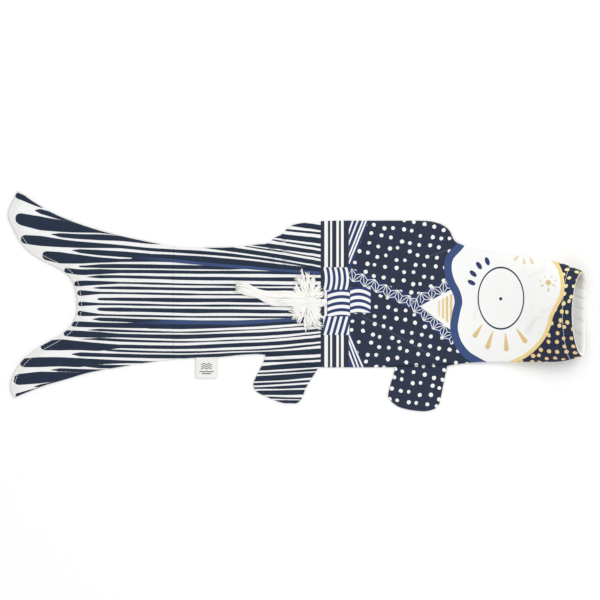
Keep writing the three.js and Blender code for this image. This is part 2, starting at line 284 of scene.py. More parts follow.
def cloth_mesh(name, points, uv, place, values, facing_up, closed=False):
    """A mesh of a grid of points, with the cloth's own map, the place of its print and further
    values by name. facing_up gives the faces' side; closed joins the last row to the first."""
    rows, columns = points.shape[:2]
    index = np.arange(rows * columns).reshape(rows, columns)
    if closed:
        index = np.vstack([index, index[:1]])
    corners = [index[:-1, :-1], index[1:, :-1], index[1:, 1:], index[:-1, 1:]]
    if not facing_up:
        corners.reverse()
    faces = np.stack(corners, axis=-1).reshape(-1, 4)
    mesh = bpy.data.meshes.new(name)
    mesh.from_pydata(points.reshape(-1, 3) / 1000, [], faces)
    mesh.shade_smooth()
    corner_points = np.empty(len(mesh.loops), np.int32)
    mesh.loops.foreach_get("vertex_index", corner_points)
    uv_map = mesh.uv_layers.new(name="cloth")
    uv_map.data.foreach_set("uv", (uv.reshape(-1, 2)[corner_points] / 1000).ravel())
    place_values = np.zeros((rows * columns, 3))
    place_values[:, :2] = place.reshape(-1, 2)
    print_at = mesh.attributes.new("place", "FLOAT_VECTOR", "POINT")
    print_at.data.foreach_set("vector", place_values.ravel())
    for value_name, value in values.items():
        layer = mesh.attributes.new(value_name, "FLOAT", "POINT")
        layer.data.foreach_set("value", np.broadcast_to(value, (rows, columns)).ravel())
    return put_in(name, mesh)


def thicken(piece, outer, inner, thickness=cloth_thickness):
    """Gives a sheet its thickness inwards, with one material outside and another inside."""
    piece.data.materials.append(outer)
    piece.data.materials.append(inner)
    wall = piece.modifiers.new("cloth_thickness", "SOLIDIFY")
    wall.thickness = thickness / 1000
    wall.offset = -1
    wall.material_offset = 1


def ink(red, green, blue):
    """A printed colour from its usual 0 to 255 numbers, as the amounts of light it sends back."""
    shown = np.array([red, green, blue]) / 255
    sent = np.where(shown <= 0.04045, shown / 12.92, ((shown + 0.055) / 1.055) ** 2.4)
    return (*sent.tolist(), 1)


class Wire:
    """A number in a material. The usual signs for sums add the node that works them out."""

    def __init__(self, tree, source):
        self.tree = tree
        self.source = source

    def math(self, kind, *others, clamp=False):
        node = self.tree.nodes.new("ShaderNodeMath")
        node.operation = kind
        node.use_clamp = clamp
        for place, value in enumerate((self, *others)):
            value = value.source if isinstance(value, Wire) else value
            if isinstance(value, bpy.types.NodeSocket):
                self.tree.links.new(value, node.inputs[place])
            else:
                node.inputs[place].default_value = value
        return Wire(self.tree, node.outputs[0])

    def __add__(self, other):
        return self.math("ADD", other)

    def __sub__(self, other):
        return self.math("SUBTRACT", other)

    def __rsub__(self, other):
        return (self * -1).math("ADD", other)

    def __mul__(self, other):
        return self.math("MULTIPLY", other)

    def __truediv__(self, other):
        return self.math("DIVIDE", other)

    def __abs__(self):
        return self.math("ABSOLUTE")

    def within(self, low, high):
        """How far outside the stretch from low to high the number is; below 0 inside it."""
        return abs(self - (low + high) / 2) - (high - low) / 2

    def inside(self, soft=0.3):
        """1 where the distance is below 0 and 0 where it is above, over a soft step."""
        return (self * (-1 / soft)).math("ADD", 0.5, clamp=True)

    def ramp(self, start, end):
        """0 at start and 1 at end, evenly in between, and held there beyond both."""
        return (self - start).math("MULTIPLY", 1 / (end - start), clamp=True)


def length(a, b):
    """Length of the slope over a and b: the root of the sum of their squares."""
    return (a * a + b * b).math("SQRT")


def spot(x, y, centre, radii, turned=0.0):
    """Distance outside an oval: its scaled radius less one, times its smaller radius."""
    cosine, sine = float(np.cos(turned)), float(np.sin(turned))
    from_x, from_y = x - centre[0], y - centre[1]
    long_way = (from_x * cosine + from_y * sine) / radii[0]
    short_way = (from_y * cosine - from_x * sine) / radii[1]
    return (length(long_way, short_way) - 1) * min(radii)


def brush(x, y, start, end, start_radius, end_radius):
    """Distance outside a stroke from start to end whose radius grows evenly along it."""
    run_x, run_y = end[0] - start[0], end[1] - start[1]
    from_x, from_y = x - start[0], y - start[1]
    square = run_x**2 + run_y**2
    share = (from_x * run_x + from_y * run_y).math("DIVIDE", square, clamp=True)
    apart = length(from_x - share * run_x, from_y - share * run_y)
    return apart - (share * (end_radius - start_radius) + start_radius)


def strokes(x, y, drawn, *radii):
    """Distance outside several strokes. Each is given by its start and end, and then by its two
    radii, unless all have the same."""
    return either(*[brush(x, y, *stroke, *radii) for stroke in drawn])


def every(value, pitch, width):
    """Distance outside stripes of a width that repeat at a pitch, the first from 0 to width."""
    turn = (value - width / 2).math("WRAP", pitch / 2, -pitch / 2)
    return abs(turn) - width / 2


def either(*distances):
    """Distance outside all of several shapes together: the smallest one."""
    joined = distances[0]
    for distance in distances[1:]:
        joined = joined.math("MINIMUM", distance)
    return joined


def both(*distances):
    """Distance outside what several shapes share: the largest one."""
    joined = distances[0]
    for distance in distances[1:]:
        joined = joined.math("MAXIMUM", distance)
    return joined


def over(below, above, share):
    """One colour laid over another by a share."""
    tree = share.tree
    node = tree.nodes.new("ShaderNodeMix")
    node.data_type = "RGBA"
    tree.links.new(share.source, node.inputs["Factor"])
    for place, colour in ((6, below), (7, above)):
        if isinstance(colour, bpy.types.NodeSocket):
            tree.links.new(colour, node.inputs[place])
        else:
            node.inputs[place].default_value = colour
    return node.outputs[2]


def read_value(tree, name):
    """The node that reads one of the cloth's own values."""
    node = tree.nodes.new("ShaderNodeAttribute")
    node.attribute_name = name
    return node


def cloth_number(tree, name):
    """One of the cloth's own values as a number."""
    return Wire(tree, read_value(tree, name).outputs["Fac"])


def two_ways(tree, place):
    """How far along its first and its second way a place lies, as two numbers."""
    axes = tree.nodes.new("ShaderNodeSeparateXYZ")
    tree.links.new(place, axes.inputs[0])
    return Wire(tree, axes.outputs[0]), Wire(tree, axes.outputs[1])


def on_cloth(tree):
    """The cloth's own flat map, in metres."""
    cloth_map = tree.nodes.new("ShaderNodeUVMap")
    cloth_map.uv_map = "cloth"
    return cloth_map.outputs["UV"]


def lumps(tree, place, scale, detail):
    """Uneven values round a half, with about scale lumps a metre."""
    node = tree.nodes.new("ShaderNodeTexNoise")
    settle(node, {"Scale": scale, "Detail": detail})
    tree.links.new(place, node.inputs["Vector"])
    return Wire(tree, node.outputs["Fac"])


def noise(tree, scale, detail=3.0):
    """Uneven values on the cloth's own map."""
    return lumps(tree, on_cloth(tree), scale, detail)


def raise_up(tree, surface, height, strength, distance):
    """Gives a surface a fine relief of a height, distance metres high at a height of 1."""
    bump = tree.nodes.new("ShaderNodeBump")
    settle(bump, {"Strength": strength, "Distance": distance})
    tree.links.new(height, bump.inputs["Height"])
    tree.links.new(bump.outputs[0], surface.inputs["Normal"])


# How much the weave, its thicker threads and wide soft clouds lighten the cloth's colour, and
# what is left where all three are at their least.
weave_tone, slub_tone, cloud_tone, least_tone = 0.03, 0.10, 0.10, 0.84


def cotton(name, draw, thread=0.55, roughness=0.88, sheen=0.04):
    """A woven cloth. draw gives its printed colour from the place of the print. The colour
    varies a little from thread to thread and over a hand's width, and the weave is a relief of
    two crossed waves, threads thread millimetres apart."""
    material, tree, surface = new_finish(name)
    x, y = two_ways(tree, read_value(tree, "place").outputs["Vector"])
    printed = draw(tree, x, y)
    along, across = two_ways(tree, on_cloth(tree))
    turn = 2 * np.pi / (thread / 1000)
    slub = noise(tree, 900, 2)
    weave = (along * turn).math("SINE") * (across * turn).math("SINE") + slub * 1.2
    clouds = noise(tree, 16, 3)
    tone = weave * weave_tone + slub * slub_tone + clouds * cloud_tone + least_tone
    worn = tree.nodes.new("ShaderNodeVectorMath")
    worn.operation = "SCALE"
    tree.links.new(printed, worn.inputs[0])
    tree.links.new(tone.source, worn.inputs["Scale"])
    tree.links.new(worn.outputs[0], surface.inputs["Base Color"])
    dull = slub * 0.12 + (roughness - 0.06)
    tree.links.new(dull.source, surface.inputs["Roughness"])
    settle(surface, {"Sheen Weight": sheen, "Sheen Roughness": 0.6, "Specular IOR Level": 0.08})
    raise_up(tree, surface, weave.source, 0.35, 0.00012)
    return material


white_ground = ink(248, 249, 247)
dotted_navy = ink(49, 56, 75)
sash_navy = ink(52, 56, 72)
sash_blue = ink(52, 66, 112)
band_blue = ink(46, 62, 108)
brow_blue = ink(64, 84, 130)
lash_blue = ink(54, 64, 108)
eye_line_ink = ink(42, 50, 76)
gold_ink = ink(226, 197, 138)
cheek_gold = ink(243, 217, 154)
pale_gold_ink = ink(232, 214, 168)
# Painted shading along the sharp creases in the dotted part: a grey-blue line over navy and dots.
crease_shading_blue = ink(112, 120, 144)
# Painted shadow along the belly seam above the front fin.
seam_shadow_navy = ink(22, 26, 38)
# Painted shade for the soft folds on the face.
fold_shade_grey = ink(226, 222, 220)
# Ground and dots beyond the cheek; the dots are yellower at the back than at the belly.
cheek_navy = ink(44, 50, 72)
back_dot_gold, belly_dot_gold = ink(241, 235, 170), ink(238, 204, 150)
# The beak's bars, from their start to 12 mm further on.
bar_cream, bars_from, bars_full = ink(240, 226, 192), 171, 183

# Sharp creases in the dotted part, shown by painted shading, and the painted shadow along the belly
# seam above the front fin, from point to point.
crease_shading_lines = [
    ((78.8, -18.1), (126.8, -44.3)), ((126.8, -44.3), (165.5, -67.6)), ((157.7, 53.2), (187.2, 63.3)),
]
fin_seam_shadow = [((112, -79.4), (190, -76.6))]

# The beak: its tip, the slopes of its upper and lower edge, where it ends, and the width of the
# white rim round its bars.
beak_tip, beak_upper, beak_lower = (150.8, -6.4), (-19.3, 36.4, 41.2), (-27.1, -34.9, 44.2)
beak_ends_at, beak_rim = 196, 4.4

# The sash's white stripes, each from an x to an x, and its far side.
sash_whites = [(33.9, 38.1), (40.9, 43.2), (48.4, 51.4), (54.0, 57.2)]
sash_side = 63.5
# The sash's slanting ends: where their corner is, their slope, how near to the middle line they
# come, and their white lines.
sash_end_corner, sash_end_slope = (64.5, 36), 0.375
upper_end_from, lower_end_from = 30, -34
sash_end_lines = [
    ((86, 101), (63.6, 46)), ((81.3, 99), (63, 53)), ((75, 99), (62.6, 67)),
    ((69, 99), (62.8, 81)), ((63.3, -41.3), (81, -82)), ((63.3, -48.2), (75.6, -82)),
    ((63.3, -61.4), (71, -82)),
]
# The knot's lobes: from x to x, from y to y, how far each is rounded out, the middle and the
# bend of its stripes, and where they start.
knot_lobes = [
    ((37.7, 64.8), (-18.1, 12.9), 0.8, 55, 0.013, 16.6),
    ((66, 89), (-13.4, 15.6), 1.4, 75, 0.022, 13.4),
]

# The brow's blue edge and the cheek's gold edge, from the back to the belly.
brow_points = [
    (207, 82), (198.6, 67.3), (186.4, 53.3), (183.7, 39.3), (187, 24.3), (194, 10.3),
    (196.6, -1.3), (194, -13), (191.1, -30.4), (192.6, -42), (197.2, -53.5), (206.8, -65.2),
    (217.8, -72.2), (232, -80),
]
brow_half_width = 4.65
cheek_points = [
    (302, 56), (313.6, 46.3), (319.4, 33.5), (321.2, 19.5), (319.4, 5.7), (313.6, -5.9),
    (307.8, -17.6), (305, -29.2), (299.7, -42), (290.4, -54.8), (278.8, -65.2), (267.2, -71.6),
    (252, -79),
]
cheek_half_width = 2.4

eye_centre, eye_radii, eye_line_width = (247.7, 3.3), (27.3, 37.2), 1.5
lash_spots = [(231.4, 48.1), (221.4, 42.9), (214.3, 33.1), (212.4, 22.2)]
gold_drops = [
    ((224.8, -29.2), (216.6, -42)), ((237.9, -37.3), (231.8, -55.4)),
    ((253.3, -39.7), (254.4, -58.3)), ((266.6, -33.9), (276.5, -48.4)),
]
pale_drops = [
    ((270.2, 55.6), (264.9, 50.6)), ((275.2, 52.2), (275.9, 45.9)), ((282.4, 53), (285.6, 46.2)),
]
sun_centre = (304.3, 22.1)
# Each ray's direction in degrees, distance from the middle, half length and half width.
sun_rays = [
    (-90, 8.4, 2.7, 1.5), (-152, 8.2, 2.5, 1.2), (-28, 7.4, 2.7, 1.1), (168, 9.4, 1.7, 0.8),
    (118, 8.0, 1.6, 0.7), (62, 8.4, 1.6, 0.7), (18, 8.8, 1.8, 0.8),
]
# Painted shade of the soft folds beside the mouth and the brow: from, to, and the two half widths.
fold_shade_strokes = [
    ((291, -20), (279, -36), 2.0, 3.0), ((310, -8), (296, -13), 1.0, 2.0),
    ((300, 38), (282, 30), 1.5, 1.0), ((222, 4), (216, -20), 1.0, 2.0),
]

# The leaf-pattern band: three straight runs, each from a point to a point.
leaf_runs = [((64, 33), (148, -6)), ((140, -3), (190, 22)), ((141, -3), (191, -48))]
leaf_cell, leaf_half_width, leaf_line = 15.5, 7.0, 0.8


def signed_gap(points, x, y):
    """Distance from a line through points, positive on its mouth side."""
    line = smooth_line(points, 6)
    gaps = [gap_from_run(x, y, start, end) for start, end in zip(line[:-1], line[1:])]
    nearest = np.minimum.reduce(gaps)
    line_x = np.interp(y, line[::-1, 1], line[::-1, 0])
    return np.where(x > line_x, nearest, -nearest)


def dots(tree, pitch=11.9, radius=2.3, shaken=0.36):
    """Distance outside hand-placed dots, a slightly shaken lattice turned on the cloth. Each
    dot has its own size and an uneven edge."""
    turned = tree.nodes.new("ShaderNodeMapping")
    settle(turned, {"Rotation": (0, 0, 0.2)})
    tree.links.new(on_cloth(tree), turned.inputs["Vector"])
    lattice = tree.nodes.new("ShaderNodeTexVoronoi")
    lattice.voronoi_dimensions = "2D"
    settle(lattice, {"Scale": 1000 / pitch, "Randomness": shaken})
    tree.links.new(turned.outputs[0], lattice.inputs["Vector"])
    own = tree.nodes.new("ShaderNodeSeparateColor")
    tree.links.new(lattice.outputs["Color"], own.inputs[0])
    own_size = Wire(tree, own.outputs[0]) * 0.5
    wobble = noise(tree, 300, 1) * 1.3
    return Wire(tree, lattice.outputs["Distance"]) * pitch - own_size - wobble - (radius - 0.9)


def leaf_pattern(x, y, start, end):
    """Distance outside one run's white lines, and outside the run. A slanting line goes up and
    down between the run's edges; from the middle of each triangle that it makes, three veins
    lead to the corners."""
    run = np.hypot(end[0] - start[0], end[1] - start[1])
    way_x, way_y = float((end[0] - start[0]) / run), float((end[1] - start[1]) / run)
    from_x, from_y = x - start[0], y - start[1]
    along = from_x * way_x + from_y * way_y
    across = from_y * way_x - from_x * way_y
    up = across / (2 * leaf_half_width) + 0.5
    half = leaf_cell / 2
    beat = abs(along.math("WRAP", half, -half))
    other_beat = abs((along + half).math("WRAP", half, -half))
    veins = [abs(beat - (1 - up) * half) * 0.88]
    for place, height in ((beat, up), (other_beat, 1 - up)):
        foot = abs(place - (1 - height * 3) * half) * 0.53
        veins.append(both(foot, (height - 1 / 3) * 14))
        veins.append(both(place, (1 / 3 - height) * 14))
    band = both(abs(across) - leaf_half_width, along.within(0, float(run)))
    return both(either(*veins) - leaf_line / 2, band), band


def dotted_print(tree, x, y):
    """Navy with white dots, painted shading along faint creases, and a dark painted shadow along the
    belly seam above the front fin.
    """
    colour = over(dotted_navy, white_ground, dots(tree).inside())
    # Painted shading along the creases.
    colour = over(colour, crease_shading_blue, strokes(x, y, crease_shading_lines, 0.28, 0.28).inside() * 0.6)
    # Painted shadow along the belly seam above the front fin.
    return over(colour, seam_shadow_navy, strokes(x, y, fin_seam_shadow, 0.9, 0.9).inside(1.6) * 0.75)


def beak_print(colour, x, y):
    """The white beak, a wedge between two slopes, with upright gold bars inside its rim."""
    edges = [
        ((x - beak_tip[0]) * slope_x + (y - beak_tip[1]) * slope_y) / size
        for slope_x, slope_y, size in (beak_upper, beak_lower)
    ]
    beak = both(*edges, x - beak_ends_at)
    colour = over(colour, white_ground, (beak - 0.6).inside())
    bars = both(beak + beak_rim, every(x - 171.4, 4.9, 3.0), bars_from - x)
    return over(colour, over(bar_cream, gold_ink, x.ramp(bars_from, bars_full)), bars.inside())


def sash_print(colour, x, y):
    """The sash's two slanting ends with their lines, then the upright sash over them."""
    past_side = x - sash_side
    beyond = past_side * -1
    corner_x, corner_y = sash_end_corner
    upper = both(x - corner_x - (y - corner_y) * sash_end_slope, upper_end_from - y, beyond)
    lower = both(x - corner_x + (y + corner_y) * sash_end_slope, y - lower_end_from, beyond)
    colour = over(colour, sash_blue, either(upper, lower).inside())
    lines = both(strokes(x, y, sash_end_lines, 1.0, 1.0), beyond)
    colour = over(colour, white_ground, lines.inside())
    white = either(*[x.within(left, right) for left, right in sash_whites])
    colour = over(colour, sash_navy, past_side.inside())
    return over(colour, white_ground, both(white, past_side).inside())


def knot_print(colour, x, y):
    """The sash's knot: an upper tail with curved stripes, a lower one with slanting stripes,
    and two lobes whose stripes arch with the square of the distance from the lobe's middle."""
    curved = x + (y - 27) * (y - 27) * 0.012
    slanting = x - (y + 30) * 0.28
    shapes = [
        (both(x.within(33, 64.1), y.within(12.9, 40.8)), every(curved - 34.6, 6.5, 3.1)),
        (both(x.within(32.4, 64.1), y.within(-41.3, -18.1)), every(slanting - 36.0, 6.9, 3.2)),
    ]
    for x_ends, y_ends, rounded, middle, arched, start in knot_lobes:
        lobe = both(x.within(*x_ends), y.within(*y_ends)) - rounded
        arch = y + (x - middle) * (x - middle) * arched
        shapes.append((lobe, both(every(arch + start, 7.9, 4.0), lobe + 0.6)))
    for shape, lines in shapes:
        colour = over(colour, sash_blue, shape.inside())
        colour = over(colour, white_ground, both(shape, lines).inside())
    return colour


def face_print(tree, colour, x, y):
    """The white face between the blue brow and the gold cheek, the gold dots beyond the cheek,
    and the eye with its lashes, drops and sun."""
    brow = cloth_number(tree, "brow")
    cheek = cloth_number(tree, "cheek")
    dot_gold = over(back_dot_gold, belly_dot_gold, y.ramp(30, -60))
    beyond_cheek = over(cheek_navy, dot_gold, dots(tree, 10.4, 2.55, 0.5).inside())
    colour = over(colour, white_ground, (brow * -1).inside())
    colour = over(colour, brow_blue, (abs(brow) - brow_half_width).inside())
    colour = over(colour, beyond_cheek, (cheek * -1).inside())
    colour = over(colour, cheek_gold, (abs(cheek) - cheek_half_width).inside())
    # Painted shade of the soft folds beside the mouth and the brow.
    colour = over(colour, fold_shade_grey, strokes(x, y, fold_shade_strokes).inside(5) * 0.45)

    rim = abs(spot(x, y, eye_centre, eye_radii)) - eye_line_width / 2
    pupil = spot(x, y, (247.5, 2.6), (2.0, 2.0))
    colour = over(colour, eye_line_ink, either(rim, pupil).inside())
    lashes = []
    for centre in lash_spots:
        aim = np.arctan2(eye_centre[1] - centre[1], eye_centre[0] - centre[0])
        lashes.append(spot(x, y, centre, (5.2, 2.7), aim))
    colour = over(colour, lash_blue, either(*lashes).inside())
    colour = over(colour, gold_ink, strokes(x, y, gold_drops, 0.7, 3.0).inside())
    colour = over(colour, pale_gold_ink, strokes(x, y, pale_drops, 0.5, 1.8).inside())
    rays = []
    for degrees, away, *radii in sun_rays:
        aim = np.radians(degrees)
        centre_x = sun_centre[0] + away * float(np.cos(aim))
        centre_y = sun_centre[1] + away * float(np.sin(aim))
        rays.append(spot(x, y, (centre_x, centre_y), radii, aim))
    colour = over(colour, pale_gold_ink, either(*rays).inside())
    return over(colour, gold_ink, spot(x, y, sun_centre, (3.3, 3.3)).inside())


def front_print(tree, x, y):
    """The front cloth's print, from its dotted ground up to what is printed over it."""
    colour = dotted_print(tree, x, y)
    for start, end in leaf_runs:
        lines, band = leaf_pattern(x, y, start, end)
        colour = over(colour, band_blue, band.inside())
        colour = over(colour, white_ground, lines.inside())
    colour = beak_print(colour, x, y)
    colour = sash_print(colour, x, y)
    colour = knot_print(colour, x, y)
    return face_print(tree, colour, x, y)


def print_through(tree, x, y):
    """The reverse of printed cloth: white with a faint blue-grey cast where ink shows through."""
    return over(ink(240, 240, 240), ink(224, 226, 232), noise(tree, 45))


front_cotton = cotton("front_print", front_print)
cloth_reverse = cotton("cloth_reverse", print_through)


def arc_map(x, across, points):
    """The cloth's own flat map: x along it, and across it the length of cloth from its middle
    line, starting at that line's own height."""
    steps = np.linalg.norm(np.diff(points[..., 1:], axis=1), axis=-1)
    arc = np.concatenate([np.zeros((len(points), 1)), np.cumsum(steps, axis=1)], axis=1)
    middle = np.array([np.interp(0, across[0], row) for row in arc])[:, None]
    return np.stack([x, arc - middle + middle_at(x)], axis=-1)


def long_cloth(name, start, end, steps_x, steps_y, side, values_at):
    """A stretch of the printed cloth between two places along it, on the near or far side."""
    x, across = np.meshgrid(np.linspace(start, end, steps_x), spread(steps_y), indexing="ij")
    points = cloth_surface(x, across, side)
    uv = arc_map(x, across, points)
    place = np.stack(print_place(x, across), axis=-1)
    values = values_at(place[..., 0], place[..., 1])
    return cloth_mesh(name, points, uv, place, values, facing_up=side > 0)


def front_values(x, y):
    """Distances from the brow's and the cheek's line, for the face's print."""
    return {"brow": signed_gap(brow_points, x, y), "cheek": signed_gap(cheek_points, x, y)}


front_steps = (244, 150)
for side, word in sides:
    ends = (sash_edge_at, mouth_at)
    cloth = long_cloth(f"front_{word}_cloth", *ends, *front_steps, side, front_values)
    thicken(cloth, front_cotton, cloth_reverse)
    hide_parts(f"head_{word}_panel", f"trunk_{word}_panel")
    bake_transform(cloth)

# ---- Middle cloth: the striped body behind the sash ----
# Printed cotton again, one ply on each side. Long brushed stripes run along it, thick and thin
# in turn; above and below, two mid-blue strokes part the level stripes from the slanting ones.

middle_ends_at = -150.0
stripe_navy = ink(36, 46, 63)
stroke_blue = ink(64, 82, 124)

# The stripes from the back to the belly: each one's tail end with its thickness there (0 for a
# pointed end), the number of the first station that it reaches, and then height and thickness
# from station to station. Stripes join and part along the way.
stations = (-311, -287, -263, -239, -214, -178, -141, -117, -81, -44, -14, 19)
stripes = [
    ((-342, 129.5, 8), 0, [(116, 6), (113, 2)]),
    ((-318.7, 110.4, 0), 0, [(108.9, 6.1), (101.5, 6), (96, 3)]),
    ((-341.8, 100.7, 14), 0, [(94.1, 16.5), (91, 14.1), (88.5, 11), (86.5, 8), (83, 7), (78, 6)]),
    ((-14, 95, 6), 11, [(90.3, 6)]),
    ((-30, 88, 2), 10, [(86.2, 2), (82.9, 2.7)]),
    ((-40, 82, 6), 10, [(77.8, 6), (74, 6.8)]),
    ((-40, 76, 2), 10, [(71.4, 2), (66.4, 2.6)]),
    ((-70, 72, 5), 9, [(68.5, 5), (64.5, 4.9), (59.8, 4.5)]),
    ((-72, 68, 0), 9, [(63.5, 1.6), (59.3, 1.7), (53.6, 1.8)]),
    ((-299.3, 81.2, 0), 1, [
        (79.7, 5), (78, 6), (77.3, 6.8), (76, 6), (71.6, 5), (70, 5), (67.6, 5), (62.8, 5.2),
        (57.6, 5.2), (52.9, 5.2), (47.2, 5.1),
    ]),
    ((-334.9, 75.2, 10), 0, [
        (72.9, 11.9), (70.1, 9.9), (68.2, 7.6), (67.2, 5.8), (66, 3.4), (62.3, 3.9), (60.2, 3.9),
        (58.8, 4), (55.8, 4.1), (51.4, 3.2), (47, 2.2), (41.3, 2),
    ]),
    ((-273.8, 61.8, 0), 2, [(60.4, 4.4), (58.5, 6.4), (56.8, 7.2), (54.4, 5.6)]),
    ((-309, 55.7, 10), 1, [(52.3, 13.9), (50.6, 10.6), (49.6, 6.5), (49.1, 3.3), (49.6, 4)]),
    ((-200, 52.6, 5), 5, [
        (52.4, 9.6), (51.3, 8.4), (49.5, 9.4), (46.5, 9.8), (42.9, 9.3), (39.5, 8), (37, 7),
    ]),
    ((-265.3, 42.4, 0), 2, [
        (41.5, 2), (42.3, 4.6), (42.3, 4.9), (41.9, 4.6), (41.1, 4.9), (40.8, 4.9), (40.5, 4.9),
        (40.5, 2),
    ]),
    ((-282.3, 37.5, 6), 2, [
        (34.6, 6.7), (35.5, 6.5), (35.8, 3.8), (35.6, 3.7), (35, 4), (34.7, 3.6), (34.7, 3.5),
        (34.5, 3.5), (34, 3.5), (33.5, 3.5),
    ]),
    ((-256.8, 29, 0), 3, [
        (29.4, 3.3), (29.4, 3.3), (28.5, 3.7), (27.5, 3.7), (27.1, 3.9), (26.9, 4.3), (26.3, 4.3),
        (26.2, 4.4), (26, 4.4),
    ]),
    ((-270.2, 20.5, 6), 2, [
        (21.4, 6.5), (21.9, 4.9), (22, 2.1), (21.2, 2.2), (20.1, 2.1), (19.7, 2.1), (19.4, 2.3),
        (18.9, 2.1), (18.6, 1.9), (18.4, 2),
    ]),
    ((-249.5, 15.7, 0), 3, [
        (15.8, 2.3), (15.9, 3.3), (15.2, 3.5), (14.4, 3.4), (14, 3.5), (14, 3.7), (14, 3.5),
        (14, 3), (14, 3),
    ]),
    ((-266.5, 9.6, 6), 2, [
        (9.6, 6.8), (9.7, 2.6), (9.5, 2.4), (8.9, 2.4), (8.1, 2.3), (7.8, 1.8), (7.6, 2),
        (7.4, 2), (7.2, 2), (7, 2),
    ]),
    ((-243.4, 2.3, 0), 3, [
        (2.2, 3), (2, 4), (1.5, 4.4), (0.9, 4.8), (0.8, 4.6), (0.9, 4.7), (0.4, 4.7), (0.2, 4.5),
        (0, 4.5),
    ]),
    ((-265.3, -3.8, 5.5), 2, [
        (-3.5, 5.8), (-3.9, 2.4), (-4.1, 2.2), (-4.8, 2.4), (-5.6, 2.2), (-5.8, 2.3), (-5.7, 2.3),
        (-6.1, 2.2), (-6.3, 2.2), (-6.5, 2.2),
    ]),
    ((-243.4, -9.8, 0), 3, [
        (-10.2, 3.8), (-10.6, 4.9), (-11.2, 4.7), (-12, 4.9), (-12.3, 4.9), (-12.2, 4.7),
        (-12.8, 4.5), (-13.2, 3.4), (-13.5, 3.4),
    ]),
    ((-266.5, -14.7, 6), 2, [
        (-15.3, 6.4), (-17, 2.4), (-17.7, 2.1), (-18.4, 2.4), (-19.2, 2.1), (-19.5, 2.3),
        (-19.4, 2.2), (-19.7, 2.2), (-19.8, 2.4), (-19.8, 2.4),
    ]),
    ((-249.5, -22, 0), 3, [(-22.3, 3.8), (-23.1, 4.2), (-24.6, 4.8)]),
    ((-273.8, -28, 6), 2, [(-28.3, 6.8), (-29.2, 5.7), (-29.7, 5.8), (-30.3, 6.3)]),
    ((-196, -27.5, 6), 5, [
        (-27.8, 11.5), (-28.7, 10.8), (-28.8, 10.3), (-28.1, 8.8), (-27.1, 7.2), (-25.3, 7),
        (-23, 6.5),
    ]),
    ((-256.8, -35.3, 0), 3, [
        (-35.2, 2.8), (-36.4, 2.4), (-37.5, 2.2), (-38.1, 1.7), (-37.8, 1.9), (-36.1, 1.1),
        (-34.7, 1.1), (-32.5, 1.2), (-30, 1.5),
    ]),
    ((-283.5, -39, 7), 2, [
        (-40.3, 7.8), (-41.1, 6.5), (-42.1, 4.7), (-43, 4.7), (-43.7, 4.9), (-43.1, 4.9),
        (-41.7, 4.8), (-40.5, 4.6), (-38.7, 4), (-36, 3.2),
    ]),
    ((-265.3, -46.3, 0), 3, [
        (-46.4, 3.2), (-47.9, 3), (-49.1, 2.3), (-49.8, 2.2), (-49.5, 1.5), (-48, 1.4),
        (-46.8, 0.9), (-44.5, 1.2), (-41.1, 1.8),
    ]),
    ((-311.4, -54.8, 10), 1, [
        (-53.1, 13.1), (-54.3, 10.8), (-56.1, 9.6), (-55.1, 4.1), (-56, 4), (-56.4, 4.3),
        (-55.8, 4.5), (-54, 4.5), (-52.6, 4.8), (-50.8, 4.8), (-47.6, 4.5),
    ]),
    ((-240, -59.5, 0), 4, [
        (-60.6, 2.7), (-61.9, 2.4), (-62.4, 2.1), (-62.1, 2), (-60.5, 1.8), (-59.4, 1.9),
        (-57.3, 2.2), (-53.8, 2.6),
    ]),
    ((-275, -64.5, 0), 2, [
        (-64.9, 4.7), (-65.7, 4.8), (-66.4, 4.5), (-67.3, 4.3), (-67.6, 4.4), (-67.3, 5),
        (-66, 5.5), (-65, 6), (-63.7, 6), (-61.7, 6.8),
    ]),
    ((-336.2, -75.4, 10), 0, [
        (-74.3, 12.1), (-73.8, 11.1), (-75.1, 11), (-73.8, 5.8), (-74, 3.5), (-74.2, 1.9),
        (-74, 2), (-74, 2), (-73.5, 2.5), (-73.3, 3), (-72.5, 3.1), (-70.4, 2.5),
    ]),
    ((-262, -79, 0), 3, [
        (-79.7, 4.4), (-79.8, 4), (-80, 4), (-81, 4), (-82, 4), (-82.5, 4.5), (-82, 5),
        (-79.6, 6.2), (-77.6, 6.3),
    ]),
    ((-300.5, -83.9, 0), 1, [(-83.5, 3.5), (-84.6, 3.5), (-85, 3), (-84, 3)]),
    ((-343.9, -96, 13), 0, [(-92.9, 13.7), (-91.8, 11), (-90.5, 7), (-88, 5)]),
    ((-321.2, -104.5, 0), 0, [(-103, 3.1), (-98, 2)]),
    ((-342, -115.5, 5), 0, [(-106, 3), (-101, 2)]),
    ((-60, -88.5, 2), 9, [(-88, 2.1), (-86.4, 2.4), (-84, 2.4)]),
    ((-60, -95, 6), 9, [(-94.3, 6.5), (-92.8, 6.4), (-89.9, 6)]),
    ((-60, -101.5, 2.5), 9, [(-100.9, 2.7), (-99.4, 2.7), (-97, 2.7)]),
    ((-60, -106, 2), 9, [(-105.7, 2.4), (-104.9, 3.7), (-103, 4)]),
    ((-60, -112, 5), 9, [(-111.5, 5), (-111.3, 5.6), (-110.5, 5.6)]),
    ((-40, -117, 2), 10, [(-118.1, 2.3), (-118.5, 2.3)]),
    ((-30, -122, 3), 10, [(-122.2, 3.5), (-123, 3.5)]),
]
